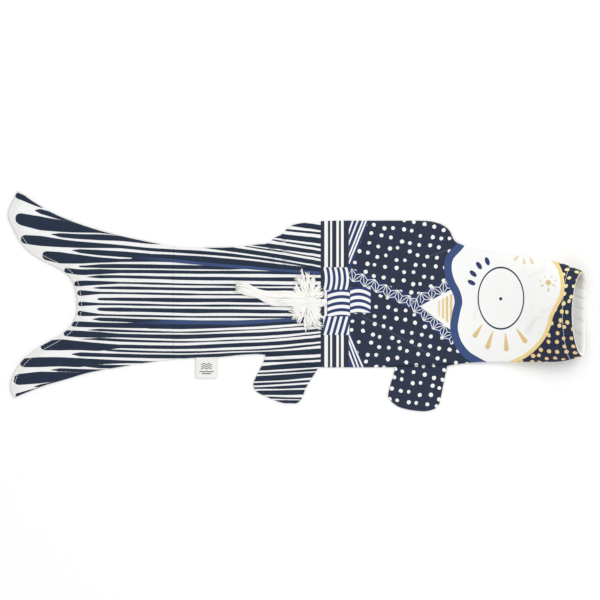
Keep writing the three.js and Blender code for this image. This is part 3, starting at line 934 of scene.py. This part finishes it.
# How much the dye spreads past a stripe's measured edge, and over what length from its tail end.
edge_spread, spread_over = 0.3, 12
far_outside = -9.0
upper_stroke = [
    (-215, 54.5), (-185, 52), (-153.6, 49.1), (-111, 44.8), (-68.6, 41.2), (-26, 37.5), (30, 34),
]
lower_stroke = [
    (-215, -28), (-182.7, -26.5), (-153.6, -25.6), (-75.9, -26.7), (-5.5, -22.8), (30, -21),
]
strokes_start_at, strokes_full_after = -215, 45


def hand_drawn(x, seed, size=0.11):
    """A slow unevenness of a stripe's edge: two sine waves of a length and start of its own."""
    first = np.sin(x / (17 + seed % 5) + 2.1 * seed)
    return size * (first + 0.5 * np.sin(x / 7.3 + 3.7 * seed))


def stroke_depth(x, y):
    """How deep inside one of the two mid-blue strokes a point lies; both thin out at the tail."""
    depth = np.full(x.shape, far_outside)
    for line, thick in ((upper_stroke, 3.9), (lower_stroke, 5.0)):
        middle = np.interp(x, *np.transpose(line))
        half = thick / 2 * np.clip((x - strokes_start_at) / strokes_full_after, 0, 1) ** 0.7
        half = half * (1 - 0.2 * ease(x, -60, 10)) + 0.15 * np.sin(x / 13)
        half = np.where(x < strokes_start_at, -2, half)
        depth = np.maximum(depth, half - np.abs(y - middle))
    return depth


def stripe_values(x, y):
    """How deep inside a dark stripe or a mid-blue stroke a point lies, in millimetres: half the
    thickness less the distance from the middle line, for the deepest stripe. The middle line is
    the mean of three straight runs a little apart; a round tail end follows a circle, and a
    stripe that ends before the last station stops there."""
    dark = np.full(x.shape, far_outside)
    for number, ((end_x, end_y, end_thick), first, drawn) in enumerate(stripes):
        passed = stations[first:first + len(drawn)]
        line_x = np.array([end_x, *passed])
        line_y = np.array([end_y, *[height for height, _ in drawn]])
        thick = np.array([end_thick, *[thickness for _, thickness in drawn]])
        slope = (line_y[-1] - line_y[-2]) / (line_x[-1] - line_x[-2])
        middle = slope * np.clip(x - line_x[-1], 0, None)
        for shift in (-6, 0, 6):
            middle = middle + np.interp(x + shift, line_x, line_y) / 3
        past = x - end_x
        begun = np.clip(past / spread_over, 0, 1)
        half = (np.interp(x, line_x, thick) + edge_spread * begun) / 2
        if end_thick > 0:
            turned = 1 - np.clip(past / (0.6 * end_thick), 0, 1)
            half = half * np.sqrt(1 - turned**2)
        depth = half + hand_drawn(x, number) * begun - np.abs(y - middle)
        ended = (past < 0) | ((x > passed[-1]) & (passed[-1] < stations[-1]))
        dark = np.maximum(dark, np.where(ended, far_outside, depth))
    return {"stripe": dark, "stroke": stroke_depth(x, y), "hem": np.zeros(x.shape)}


def stripe_print(tree, x, y):
    """White ground, greyer where the hem is turned in, brushed navy stripes with slightly ragged
    edges, and mid-blue strokes that come out of the navy towards the sash."""
    stripe = cloth_number(tree, "stripe") * -1
    stroke = cloth_number(tree, "stroke") * -1
    ragged = (noise(tree, 420, 2) - 0.5) * 0.4
    dyed = over(stripe_navy, ink(46, 57, 76), noise(tree, 60))
    ground = over(white_ground, ink(243, 244, 245), noise(tree, 25))
    ground = over(ground, ink(235, 235, 231), cloth_number(tree, "hem") * 0.8)
    colour = over(ground, dyed, (stripe + ragged).inside())
    blue = over(stripe_navy, stroke_blue, x.ramp(strokes_start_at, -145))
    return over(colour, blue, (stroke + ragged).inside(0.8))


stripe_cotton = cotton("stripe_print", stripe_print)
middle_steps = (100, 300)
for side, word in sides:
    ends = (middle_ends_at, sash_edge_at)
    cloth = long_cloth(f"middle_{word}_cloth", *ends, *middle_steps, side, stripe_values)
    thicken(cloth, stripe_cotton, cloth_reverse)
    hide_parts(f"rear_{word}_panel", f"trunk_{word}_panel")
    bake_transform(cloth)

# ---- Tail cloth: the forked end, one ply on each side ----
# The same cotton. The stripes fan out and swell to petals that stop short of the open end, whose
# edge is turned in and sewn down as a narrow hem.

tail_edge = [
    (-343.3, -117.5), (-347.3, -104.8), (-343.3, -88.4), (-332.4, -72.1), (-314.3, -57.5),
    (-283.4, -39.4), (-269.5, -23), (-266, -3), (-270.7, 22.4), (-283.4, 36.9),
    (-314.3, 53.3), (-332, 68), (-344.2, 89), (-350, 104), (-346.4, 117), (-338, 133.7),
]
hem_width = 5.0
hem_raised = 0.4


def travelled_along(line):
    """The way travelled from a line's start to each of its points."""
    gaps = np.linalg.norm(np.diff(line, axis=0), axis=1)
    return np.concatenate([[0], np.cumsum(gaps)])


def even_points(line, steps):
    """Points at even distances along a line."""
    travelled = travelled_along(line)
    wanted = np.linspace(0, travelled[-1], steps)
    return np.stack([np.interp(wanted, travelled, line[:, axis]) for axis in (0, 1)], axis=-1)


tail_line = smooth_line(tail_edge)


def tail_patch(steps_x, steps_y):
    """The tail's outline filled in: the blend of the open end and the body's border, plus the
    blend of belly and back, less the blend of the four corners."""
    u = np.linspace(0, 1, steps_x)[:, None, None]
    v = ((spread(steps_y) + 1) / 2)[None, :, None]
    up = v[0, :, 0]
    ends = even_points(tail_line, 2000)
    even = np.linspace(0, 1, len(ends))
    rear = np.stack([np.interp(up, even, ends[:, axis]) for axis in (0, 1)], axis=-1)
    low, high = belly_at(middle_ends_at), back_at(middle_ends_at)
    front = np.stack([np.full(steps_y, middle_ends_at), low + (high - low) * up], axis=-1)
    belly_x = np.linspace(tail_edge[0][0], middle_ends_at, steps_x)
    back_x = np.linspace(tail_edge[-1][0], middle_ends_at, steps_x)
    belly = np.stack([belly_x, belly_at(belly_x)], axis=-1)[:, None]
    back = np.stack([back_x, back_at(back_x)], axis=-1)[:, None]
    along = (1 - u) * rear[None] + u * front[None]
    across = (1 - v) * belly + v * back
    low_corners = (1 - u) * rear[0] + u * front[0]
    high_corners = (1 - u) * rear[-1] + u * front[-1]
    return along + across - (1 - v) * low_corners - v * high_corners


def tail_height(x, y, side, hem_gap):
    """Height of the tail's outside: the body's section by x and y, raised a little along the
    open end where the hem is turned in."""
    across = np.clip((y - middle_at(x)) / half_at(x), -1, 1)
    z = cloth_surface(x, across, side)[..., 2]
    hem = hem_raised * (1 - ease(hem_gap, hem_width - 1, hem_width + 1))
    return z + hem * (side > 0)


def gap_from_line(line, x, y):
    """Distance from the nearest point of a line."""
    nearest = np.full(x.shape, 1e9)
    for line_x, line_y in line:
        nearest = np.minimum(nearest, np.hypot(x - line_x, y - line_y))
    return nearest


tail_grid = tail_patch(110, 270)
tail_x, tail_y = tail_grid[..., 0], tail_grid[..., 1]
tail_gap = gap_from_line(even_points(tail_line, 240), tail_x, tail_y)
tail_ink = stripe_values(tail_x, tail_y)
# Greyer ground along the open end, full where the hem is turned in and fading away from 5 to 15 mm
# from the edge.
tail_ink["hem"] = 1 - ease(tail_gap, 5, 15)
for side, word in sides:
    tail_points = np.stack([tail_x, tail_y, tail_height(tail_x, tail_y, side, tail_gap)], axis=-1)
    cloth = cloth_mesh(
        f"tail_{word}_cloth", tail_points, tail_grid, tail_grid, tail_ink, facing_up=side > 0
    )
    thicken(cloth, stripe_cotton, cloth_reverse)
    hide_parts(f"tail_{word}_panel", f"rear_{word}_panel")
    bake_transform(cloth)

# ---- Topstitching: round the mouth and along the tail's hem ----
# White sewing thread, one row of short stitches. Round the mouth it closes the hoop's channel,
# on the tail it holds down the hem, one row on each side.

stitch_length, stitch_gap, thread_radius = 2.5, 0.7, 0.32
# How far in from the rim the channel's row runs, and how far every row stands out of the cloth.
channel_width, thread_stands_out = 13.0, 0.12


def tubes(name, lines, radius, sides):
    """Round strands about many centre lines at once. Each ring stands square to its line, on a
    level direction and the one square to that; flat caps close both ends."""
    count, steps = lines.shape[:2]
    ahead = np.gradient(lines, axis=1)
    ahead = ahead / np.linalg.norm(ahead, axis=-1, keepdims=True)
    sideways = np.stack([-ahead[..., 1], ahead[..., 0], np.zeros((count, steps))], axis=-1)
    size = np.linalg.norm(sideways, axis=-1, keepdims=True)
    level = np.where(size > 1e-3, sideways / np.maximum(size, 1e-3), [0.0, 1.0, 0.0])
    upward = np.cross(ahead, level)
    turn = np.linspace(0, 2 * np.pi, sides, endpoint=False)
    ring = np.cos(turn)[:, None] * level[:, :, None] + np.sin(turn)[:, None] * upward[:, :, None]
    thick = np.broadcast_to(radius, (count, steps))[..., None, None]
    points = lines[:, :, None] + ring * thick
    index = np.arange(count * steps * sides).reshape(count, steps, sides)
    after = np.roll(index, -1, axis=2)
    quads = np.stack([index[:, :-1], after[:, :-1], after[:, 1:], index[:, 1:]], axis=-1)
    caps = index[:, 0, ::-1].tolist() + index[:, -1].tolist()
    mesh = bpy.data.meshes.new(name)
    mesh.from_pydata(points.reshape(-1, 3) / 1000, [], quads.reshape(-1, 4).tolist() + caps)
    mesh.shade_smooth()
    return put_in(name, mesh)


def stitches(name, line, finish):
    """Separate stitches along a line of surface points: each is thickest in its middle, by the
    root of a sine, and nearly closed at both ends."""
    travelled = travelled_along(line)
    count = int(travelled[-1] / (stitch_length + stitch_gap))
    starts = np.arange(count) * (stitch_length + stitch_gap)
    along = np.linspace(0, 1, 6)
    wanted = starts[:, None] + along[None] * stitch_length
    centre = [np.interp(wanted, travelled, line[:, axis]) for axis in range(3)]
    radius = thread_radius * np.sin(np.pi * (0.12 + 0.76 * along)) ** 0.5
    piece = tubes(name, np.stack(centre, axis=-1), radius, 6)
    piece.data.materials.append(finish)
    return piece


def thread_material(name, colour, other, twist):
    """Plied thread or yarn: fine slanting plies on the object's own coordinates, a soft sheen,
    and two close tones."""
    material, tree, surface = new_finish(name)
    place = tree.nodes.new("ShaderNodeTexCoord").outputs["Object"]
    plies = tree.nodes.new("ShaderNodeTexWave")
    plies.wave_type = "BANDS"
    plies.bands_direction = "DIAGONAL"
    settle(plies, {"Scale": twist, "Distortion": 2.5, "Detail": 2})
    tree.links.new(place, plies.inputs["Vector"])
    tone = Wire(tree, plies.outputs["Fac"]) * 0.5 + lumps(tree, place, 120, 2) * 0.5
    tree.links.new(over(colour, other, tone), surface.inputs["Base Color"])
    settle(surface, {"Roughness": 0.8, "Sheen Weight": 0.1})
    raise_up(tree, surface, plies.outputs["Fac"], 0.4, 0.00015)
    return material


sewing_thread = thread_material("sewing_thread", ink(250, 250, 248), ink(226, 226, 222), 900)
row_points = 400
row_x = np.full(row_points, mouth_at - channel_width)
half_round = np.sin(np.linspace(-1, 1, row_points) * np.pi / 2)
near_row, far_row = cloth_surface(row_x, half_round, 1), cloth_surface(row_x, -half_round, -1)
mouth_row = np.vstack([near_row, far_row])
outwards = mouth_row - mouth_row.mean(axis=0)
outwards[:, 0] = 0
outwards /= np.linalg.norm(outwards, axis=1, keepdims=True)
mouth_stitches = stitches(
    "mouth_stitches", mouth_row + thread_stands_out * outwards, sewing_thread
)
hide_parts("mouth_topstitch")
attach(mouth_stitches, "head")

hem_line = even_points(tail_line, row_points)
hem_way = np.gradient(hem_line, axis=0)
hem_way /= np.linalg.norm(hem_way, axis=1, keepdims=True)
hem_row = hem_line + hem_width * np.stack([hem_way[:, 1], -hem_way[:, 0]], axis=-1)
# The row stops short of both tips.
hem_row = hem_row[12:-12]
hem_x, hem_y = hem_row.T
for side, word in sides:
    row_height = tail_height(hem_x, hem_y, side, np.full(len(hem_row), hem_width))
    row = np.column_stack([hem_row, row_height + thread_stands_out * side])
    hem_stitches = stitches(f"tail_{word}_stitches", row, sewing_thread)
    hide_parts(f"tail_{word}_topstitch")
    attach(hem_stitches, "tail")

# ---- Mouth facing: the white lining behind the rim ----
# Undyed cotton turned in at the rim and sewn down by the topstitching, so that it makes the
# channel that the hoop runs in. Seen inside the open mouth.

# The facing from the rim inwards: how far in from the outside of the cloth, and how far back
# from the rim.
facing_profile = [
    (0.5, -0.15), (1.4, -0.45), (2.7, -0.35), (3.9, 0.25), (4.7, 1.3), (5.0, 2.7), (4.8, 4.6),
    (4.0, 6.8), (3.0, 9.2), (2.0, 11.6), (1.35, 13.4), (1.25, 15.0), (1.25, 16.5),
]
facing_turns = 260


def inside_mouth(angle, inset, back):
    """A point inside the tube near its rim: the section's oval made smaller by the inset, at a
    distance back from the rim, leaning as the rim does."""
    x = mouth_at - back
    along = way_to_mouth(x)
    half_open = opening_at(along) / 2
    y = middle_at(x) + (half_at(x) - inset) * np.cos(angle)
    z = mouth_lift * along + half_open + (half_open - inset) * np.sin(angle)
    return np.stack([lean_back(x, np.sin(angle), along), y, z], axis=-1)


facing_inset, facing_back = smooth_line(facing_profile, 3).T
angle = np.linspace(0, 2 * np.pi, facing_turns, endpoint=False)[:, None]
# The lining gathers in uneven folds that are full 6 mm behind the rim.
gather = 0.28 * np.sin(31 * angle) * np.sin(7 * angle + 1) + 0.22 * np.sin(19 * angle + 2)
gather = gather * np.clip(facing_back / 6, 0, 1)
facing_points = inside_mouth(angle, facing_inset + gather, facing_back[None])
facing_turn = np.arange(facing_turns)[:, None] * 1.0
facing_uv = np.stack(np.broadcast_arrays(facing_turn, facing_back[None]), axis=-1)
facing = cloth_mesh(
    "mouth_facing_cloth", facing_points, facing_uv, facing_points[..., :2], {}, False, closed=True
)
# Painted shade of the folds seen in the open mouth: from the rim, inwards, and the two half widths.
facing_fold_shade = [
    ((349, 25), (337, 29), 0.6, 0.2), ((349, 15), (336, 19), 0.5, 0.2),
    ((349, 3), (335, 8), 0.7, 0.2), ((348, -9), (336, -6), 0.5, 0.2),
    ((348, -24), (337, -20), 0.6, 0.2), ((346, -40), (338, -37), 0.4, 0.2),
]


def facing_white_and_shade(tree, x, y):
    """Undyed cotton with painted shade: darker and warmer towards the back seam, with painted shade
    of faint creases round it and of the folds seen in the open mouth.
    """
    # Painted shade: darker and warmer towards the back seam.
    base = over(ink(249, 248, 244), ink(208, 194, 172), y.ramp(12, 40))
    # Painted shade of faint creases, in uneven patches.
    crease_shade = (noise(tree, 70, 2) - 0.42).math("MULTIPLY", 0.8, clamp=True)
    colour = over(base, ink(226, 220, 208), crease_shade)
    # Painted shade of the folds in the open mouth.
    return over(colour, ink(190, 181, 166), strokes(x, y, facing_fold_shade).inside(2.2) * 0.55)


facing_cotton = cotton("facing_cotton", facing_white_and_shade)
thicken(facing, facing_cotton, facing_cotton)
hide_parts("mouth_facing")
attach(facing, "head")

# ---- Hoop and ferrule: what holds the mouth open ----
# A springy steel wire runs round in the channel, and its ends meet in a crimped brass tube. Both
# keep their shape; only the finish is made here.


def metal(name, colour, other, roughness, scratch):
    """Bare metal: small stains that change its colour and its gloss."""
    material, tree, surface = new_finish(name)
    place = tree.nodes.new("ShaderNodeTexCoord").outputs["Object"]
    stain = lumps(tree, place, scratch, 4)
    tree.links.new(over(colour, other, stain), surface.inputs["Base Color"])
    tree.links.new((stain * 0.25 + roughness).source, surface.inputs["Roughness"])
    settle(surface, {"Metallic": 1.0})
    return material


spring_wire = metal("spring_wire", ink(202, 204, 206), ink(168, 170, 174), 0.22, 300)
ferrule_brass = metal("ferrule_brass", ink(214, 180, 104), ink(176, 138, 70), 0.28, 240)
for node_name, finish in (("mouth_hoop", spring_wire), ("hoop_ferrule", ferrule_brass)):
    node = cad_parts[node_name]
    node.data.materials.clear()
    node.data.materials.append(finish)

# ---- Belly fins: front and rear ----
# Two plies each, sewn together round the outline and caught in the belly seam. The front one is
# dotted like the body beside it, the rear one striped.

front_fin_outline = [
    (118, -89.7), (114.9, -99.1), (111.4, -114.5), (113.4, -119.9), (122.7, -127.7),
    (134.2, -131.5), (146, -133.3), (157, -133.7), (167.5, -131), (172.8, -125.6),
    (176, -113), (179, -97.5),
]
rear_fin_outline = [
    (-40, -74.1), (-49.7, -93.5), (-52.2, -102), (-48.8, -109.6), (-36.7, -116),
    (-20.6, -122.6), (-4.5, -125), (5.2, -120.1), (11.7, -104.8), (22.2, -87.8),
]
fin_seam_height, fin_half_gap, fin_thickness = 0.95, 0.22, 0.2
near_puff, far_puff, lowest = 1.1, 0.62, 0.05


def dot_print(tree, x, y):
    """Navy with white dots, as on the body beside the fin."""
    return over(dotted_navy, white_ground, dots(tree).inside())


dot_cotton = cotton("dot_print", dot_print)


def fin_ply(name, seam, outline, side, values_at, finish):
    """One ply of a fin: straight lines from the seam to the outline, puffed by a low dome that
    is flat at the seam and comes to nothing at the outline."""
    steps_u, steps_v = 110, 70
    seam_x = np.linspace(seam[0], seam[1], steps_u)
    top = np.stack([seam_x, belly_at(seam_x) + 0.4], axis=-1)
    ends = [tuple(top[0]), *outline, tuple(top[-1])]
    bottom = even_points(smooth_line(ends), steps_u)
    v = np.linspace(0, 1, steps_v)[None, :, None] ** 0.85
    flat = (1 - v) * top[:, None] + v * bottom[:, None]
    u = np.linspace(0, 1, steps_u)[:, None]
    inward = (1 - v[..., 0]) * np.sin(np.pi * u) ** 0.5
    dome = np.sqrt(np.clip(1 - (1 - np.clip(inward * 2.2, 0, 1)) ** 2, 0, 1))
    x, y = flat[..., 0], flat[..., 1]
    if side > 0:
        puff = (near_puff + 0.12 * np.sin(x / 7 + y / 11)) * dome
    else:
        puff = far_puff * dome
    z = np.maximum(fin_seam_height + side * (fin_half_gap + puff), lowest)
    points = np.stack([x, y, z], axis=-1)
    ply = cloth_mesh(name, points, flat, flat, values_at(x, y), facing_up=side < 0)
    thicken(ply, finish, cloth_reverse, fin_thickness)
    return ply


# Each fin: its stretch of the seam, how far the seam slants per millimetre, its flat size in
# metres, its outline, its print's own values and its cloth.
fins = (
    ("front_fin", (119.5, 183), 0, (0.067, 0.053), front_fin_outline, lambda x, y: {}, dot_cotton),
    (
        "rear_fin", (-37.5, 27.5), 0.2269, (0.075, 0.052), rear_fin_outline, stripe_values,
        stripe_cotton,
    ),
)
cut_share = 0.82
turning_depth = 7
for fin, seam, slant, size, outline, values_at, finish in fins:
    middle = (seam[0] + seam[1]) / 2
    start = (middle / 1000, (float(belly_at(middle)) + 0.5) / 1000, fin_seam_height / 1000)
    end = (start[0] - turning_depth * slant / 1000, start[1] - turning_depth / 1000, start[2])
    for side, word in sides:
        ply = fin_ply(f"{fin}_{word}_cloth", seam, outline, side, values_at, finish)
        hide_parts(f"{fin}_{word}_ply")
        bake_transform(ply)
    area = cut_share * size[0] * size[1]

# ---- Label: a tape folded in two and caught in the belly seam ----
# Smooth white tape, cut to twice its drop, folded at the bottom and sewn in by both ends. Its
# front carries a small plain mark, three waves over two rules, in grey.

label_at, label_width, label_drop = -109.3, 26.0, 26.0
label_thickness, half_fold, label_height = 0.25, 0.32, 1.0
label_seam_y = float(belly_at(label_at))
# The mark: depths of the waves below the seam, half their length, depth and half length of each
# rule, and half the thickness of all the lines.
wave_depths, wave_half, rules, line_half = (8.0, 10.6, 13.2), 6.5, ((17.2, 8.5), (19.6, 5.5)), 0.5


def label_print(tree, x, y):
    """White tape with a plain grey mark: three waves and two rules."""
    from_seam = y - label_seam_y
    ripple = (x * 1.05).math("SINE") * 0.8
    marks = []
    for depth in wave_depths:
        wave = abs(from_seam + depth - ripple) - line_half
        marks.append(both(wave, x.within(label_at - wave_half, label_at + wave_half)))
    for depth, half in rules:
        rule = abs(from_seam + depth) - line_half
        marks.append(both(rule, x.within(label_at - half, label_at + half)))
    tape = over(ink(248, 247, 245), ink(240, 238, 234), noise(tree, 80))
    return over(tape, ink(52, 53, 60), either(*marks).inside())


def plain_tape(tree, x, y):
    """The tape's unprinted side."""
    return over(ink(246, 245, 243), ink(238, 236, 232), noise(tree, 80))


# From the seam down the front, round the fold and up the back.
layer_steps, fold_steps, width_steps = 30, 7, 40
straight = label_drop - 0.6
down = np.linspace(0, straight, layer_steps)
fold_turn = np.linspace(-np.pi / 2, np.pi / 2, fold_steps + 2)[1:-1]
label_y = np.concatenate([-down, -straight - half_fold * np.cos(fold_turn), -down[::-1]])
label_z = np.concatenate([
    np.full(layer_steps, half_fold), -half_fold * np.sin(fold_turn), np.full(layer_steps, -half_fold),
])
curl = 0.9 * ease(-label_y, 5, 26)
label_x = np.linspace(-label_width / 2, label_width / 2, width_steps)[:, None]
corner_curl = 0.5 * (label_x / 13) ** 2 * ease(-label_y[None], 8, 26)
label_points = np.stack(np.broadcast_arrays(
    label_at + label_x,
    label_seam_y + 0.4 + label_y[None],
    label_height + label_z[None] + (curl[None] + corner_curl) * 0.5,
), axis=-1)
label_uv = np.stack(np.broadcast_arrays(
    label_x, travelled_along(np.stack([label_y, label_z], axis=-1))[None],
), axis=-1)
# The back layer's print is looked up far to the side, where there is no mark.
label_place = label_points[..., :2].copy()
label_place[:, layer_steps + fold_steps // 2 + 1:, 0] += 200
label = cloth_mesh("label_tape_cloth", label_points, label_uv, label_place, {}, False)
thicken(
    label,
    cotton("label_print", label_print, thread=0.35),
    cotton("label_plain", plain_tape, thread=0.35),
    label_thickness,
)
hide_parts("sewn_label")
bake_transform(label)

# ---- Tassel: knot, fringe and lock of white yarn ----
# Soft cotton yarn tied on the sash's knot: a wrapped knot, a fringe that bursts out over the
# cloth, and one long lock that lies back along the stripes.

white_yarn = thread_material("white_yarn", ink(255, 255, 253), ink(250, 248, 242), 420)
yarn_floor, yarn_radius, yarn_sides = 4.75, 0.6, 5
shake = np.random.default_rng(7)

# The fringe: its strands hang together in tufts, and fill an upright oval round its middle.
fringe_count, fringe_steps, tufts = 760, 8, 76
fringe_middle, fringe_radii = (13.6, 0.4), (21.8, 43)
tuft = np.arange(fringe_count) % tufts
tuft_aim = (tuft + shake.uniform(-0.3, 0.3, tufts)[tuft]) * 2 * np.pi / tufts
aim = tuft_aim + shake.normal(0, 0.02, fringe_count)
reach = 1 / np.hypot(np.cos(aim) / fringe_radii[0], np.sin(aim) / fringe_radii[1])
reach = reach * shake.uniform(0.74, 1.0, tufts)[tuft]
reach = reach * shake.uniform(0.55, 1.0, fringe_count) ** 0.5
root = shake.uniform(0.0, 0.7, fringe_count)[:, None]
bend = shake.normal(0, 0.2, tufts)[tuft] + shake.normal(0, 0.03, fringe_count)
run = np.linspace(0, 1, fringe_steps)[None]
share = root + (1 - root) * run
heading = aim[:, None] + bend[:, None] * run**1.5
fringe_x = fringe_middle[0] + share * reach[:, None] * np.cos(heading)
fringe_y = fringe_middle[1] + share * reach[:, None] * np.sin(heading)
layer = shake.uniform(0, 1, fringe_count)[:, None]
fringe_z = yarn_floor + (0.8 + 1.6 * layer) * np.cos(share * np.pi / 2) ** 0.8 + 0.4 * layer
fringe_lines = np.stack([fringe_x, fringe_y, fringe_z], axis=-1)
fringe_radius = yarn_radius * (1 - 0.45 * run) * shake.uniform(0.75, 1.1, (fringe_count, 1))
fringe = tubes("tassel_fringe_yarn", fringe_lines, fringe_radius, yarn_sides)

# The lock: its line from the knot to its tip, and its half width and thickness along X.
lock_count, lock_steps = 150, 20
lock_line = smooth_line([
    (35, -1.5), (22, -3), (6, 0), (-12, 3), (-30, 3), (-40, 6), (-48, 9.2), (-56, 12.6),
    (-66, 15.8), (-74.5, 16.6),
])
lock_widths_at = [-74, -66, -56, -48, -40, -30, -12, 6, 22, 35]
lock_half_widths = [6, 7.2, 6.4, 5, 6.2, 8.3, 9.2, 7, 4.6, 3.6]
lock_rises_at, lock_rises = [-74, -42, -20, 22, 35], [2.4, 2.8, 4.4, 4.8, 4.6]
lock_run = np.linspace(0, 1, lock_steps)
lock_middle = even_points(lock_line, lock_steps)
lock_half = np.interp(lock_middle[:, 0], lock_widths_at, lock_half_widths)
lock_rise = np.interp(lock_middle[:, 0], lock_rises_at, lock_rises)
across = shake.uniform(-1, 1, lock_count)[:, None]
above = shake.uniform(0, 1, lock_count)[:, None] * np.sqrt(1 - across**2 * 0.9)
wander = 0.07 * np.sin(lock_run[None] * shake.uniform(6, 15, (lock_count, 1)) + across * 9)
trim = shake.uniform(0.0, 0.09, lock_count)[:, None]
lock_share = lock_run[None] * (1 - trim)
lock_x = np.interp(lock_share, lock_run, lock_middle[:, 0])
half_here = np.interp(lock_share, lock_run, lock_half)
lock_y = np.interp(lock_share, lock_run, lock_middle[:, 1]) + (across + wander) * half_here
lock_z = yarn_floor + above * np.interp(lock_share, lock_run, lock_rise)
lock_lines = np.stack([lock_x, lock_y, lock_z], axis=-1)
lock_radius = shake.uniform(0.75, 1.15, (lock_count, 1)) * (1 - 0.3 * lock_run[None] ** 3)
lock = tubes("tassel_lock_yarn", lock_lines, yarn_radius * lock_radius, yarn_sides)

# The knot: one yarn wound six and a half times round the tassel's neck, along X.
wrap_steps, wraps, wrap_pitch, wrap_from = 150, 6.5, 0.92, 30.6
wrap_turn = np.linspace(0, 2 * np.pi * wraps, wrap_steps)
wrap_radius = 2.9 - 0.5 * np.linspace(-1, 1, wrap_steps) ** 2
wrap_x = wrap_from + wrap_pitch * wrap_turn / (2 * np.pi)
wrap_y = -1 + wrap_radius * np.cos(wrap_turn)
wrap_z = 7.9 + wrap_radius * np.sin(wrap_turn)
wrap_line = np.stack([wrap_x, wrap_y, wrap_z], axis=-1)
knot = tubes("tassel_knot_yarn", wrap_line[None], 0.55, 6)

for piece, node_name in ((fringe, "tassel_fringe"), (lock, "tassel_lock"), (knot, "tassel_knot")):
    piece.data.materials.append(white_yarn)
    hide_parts(node_name)
    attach(piece, "tassel")
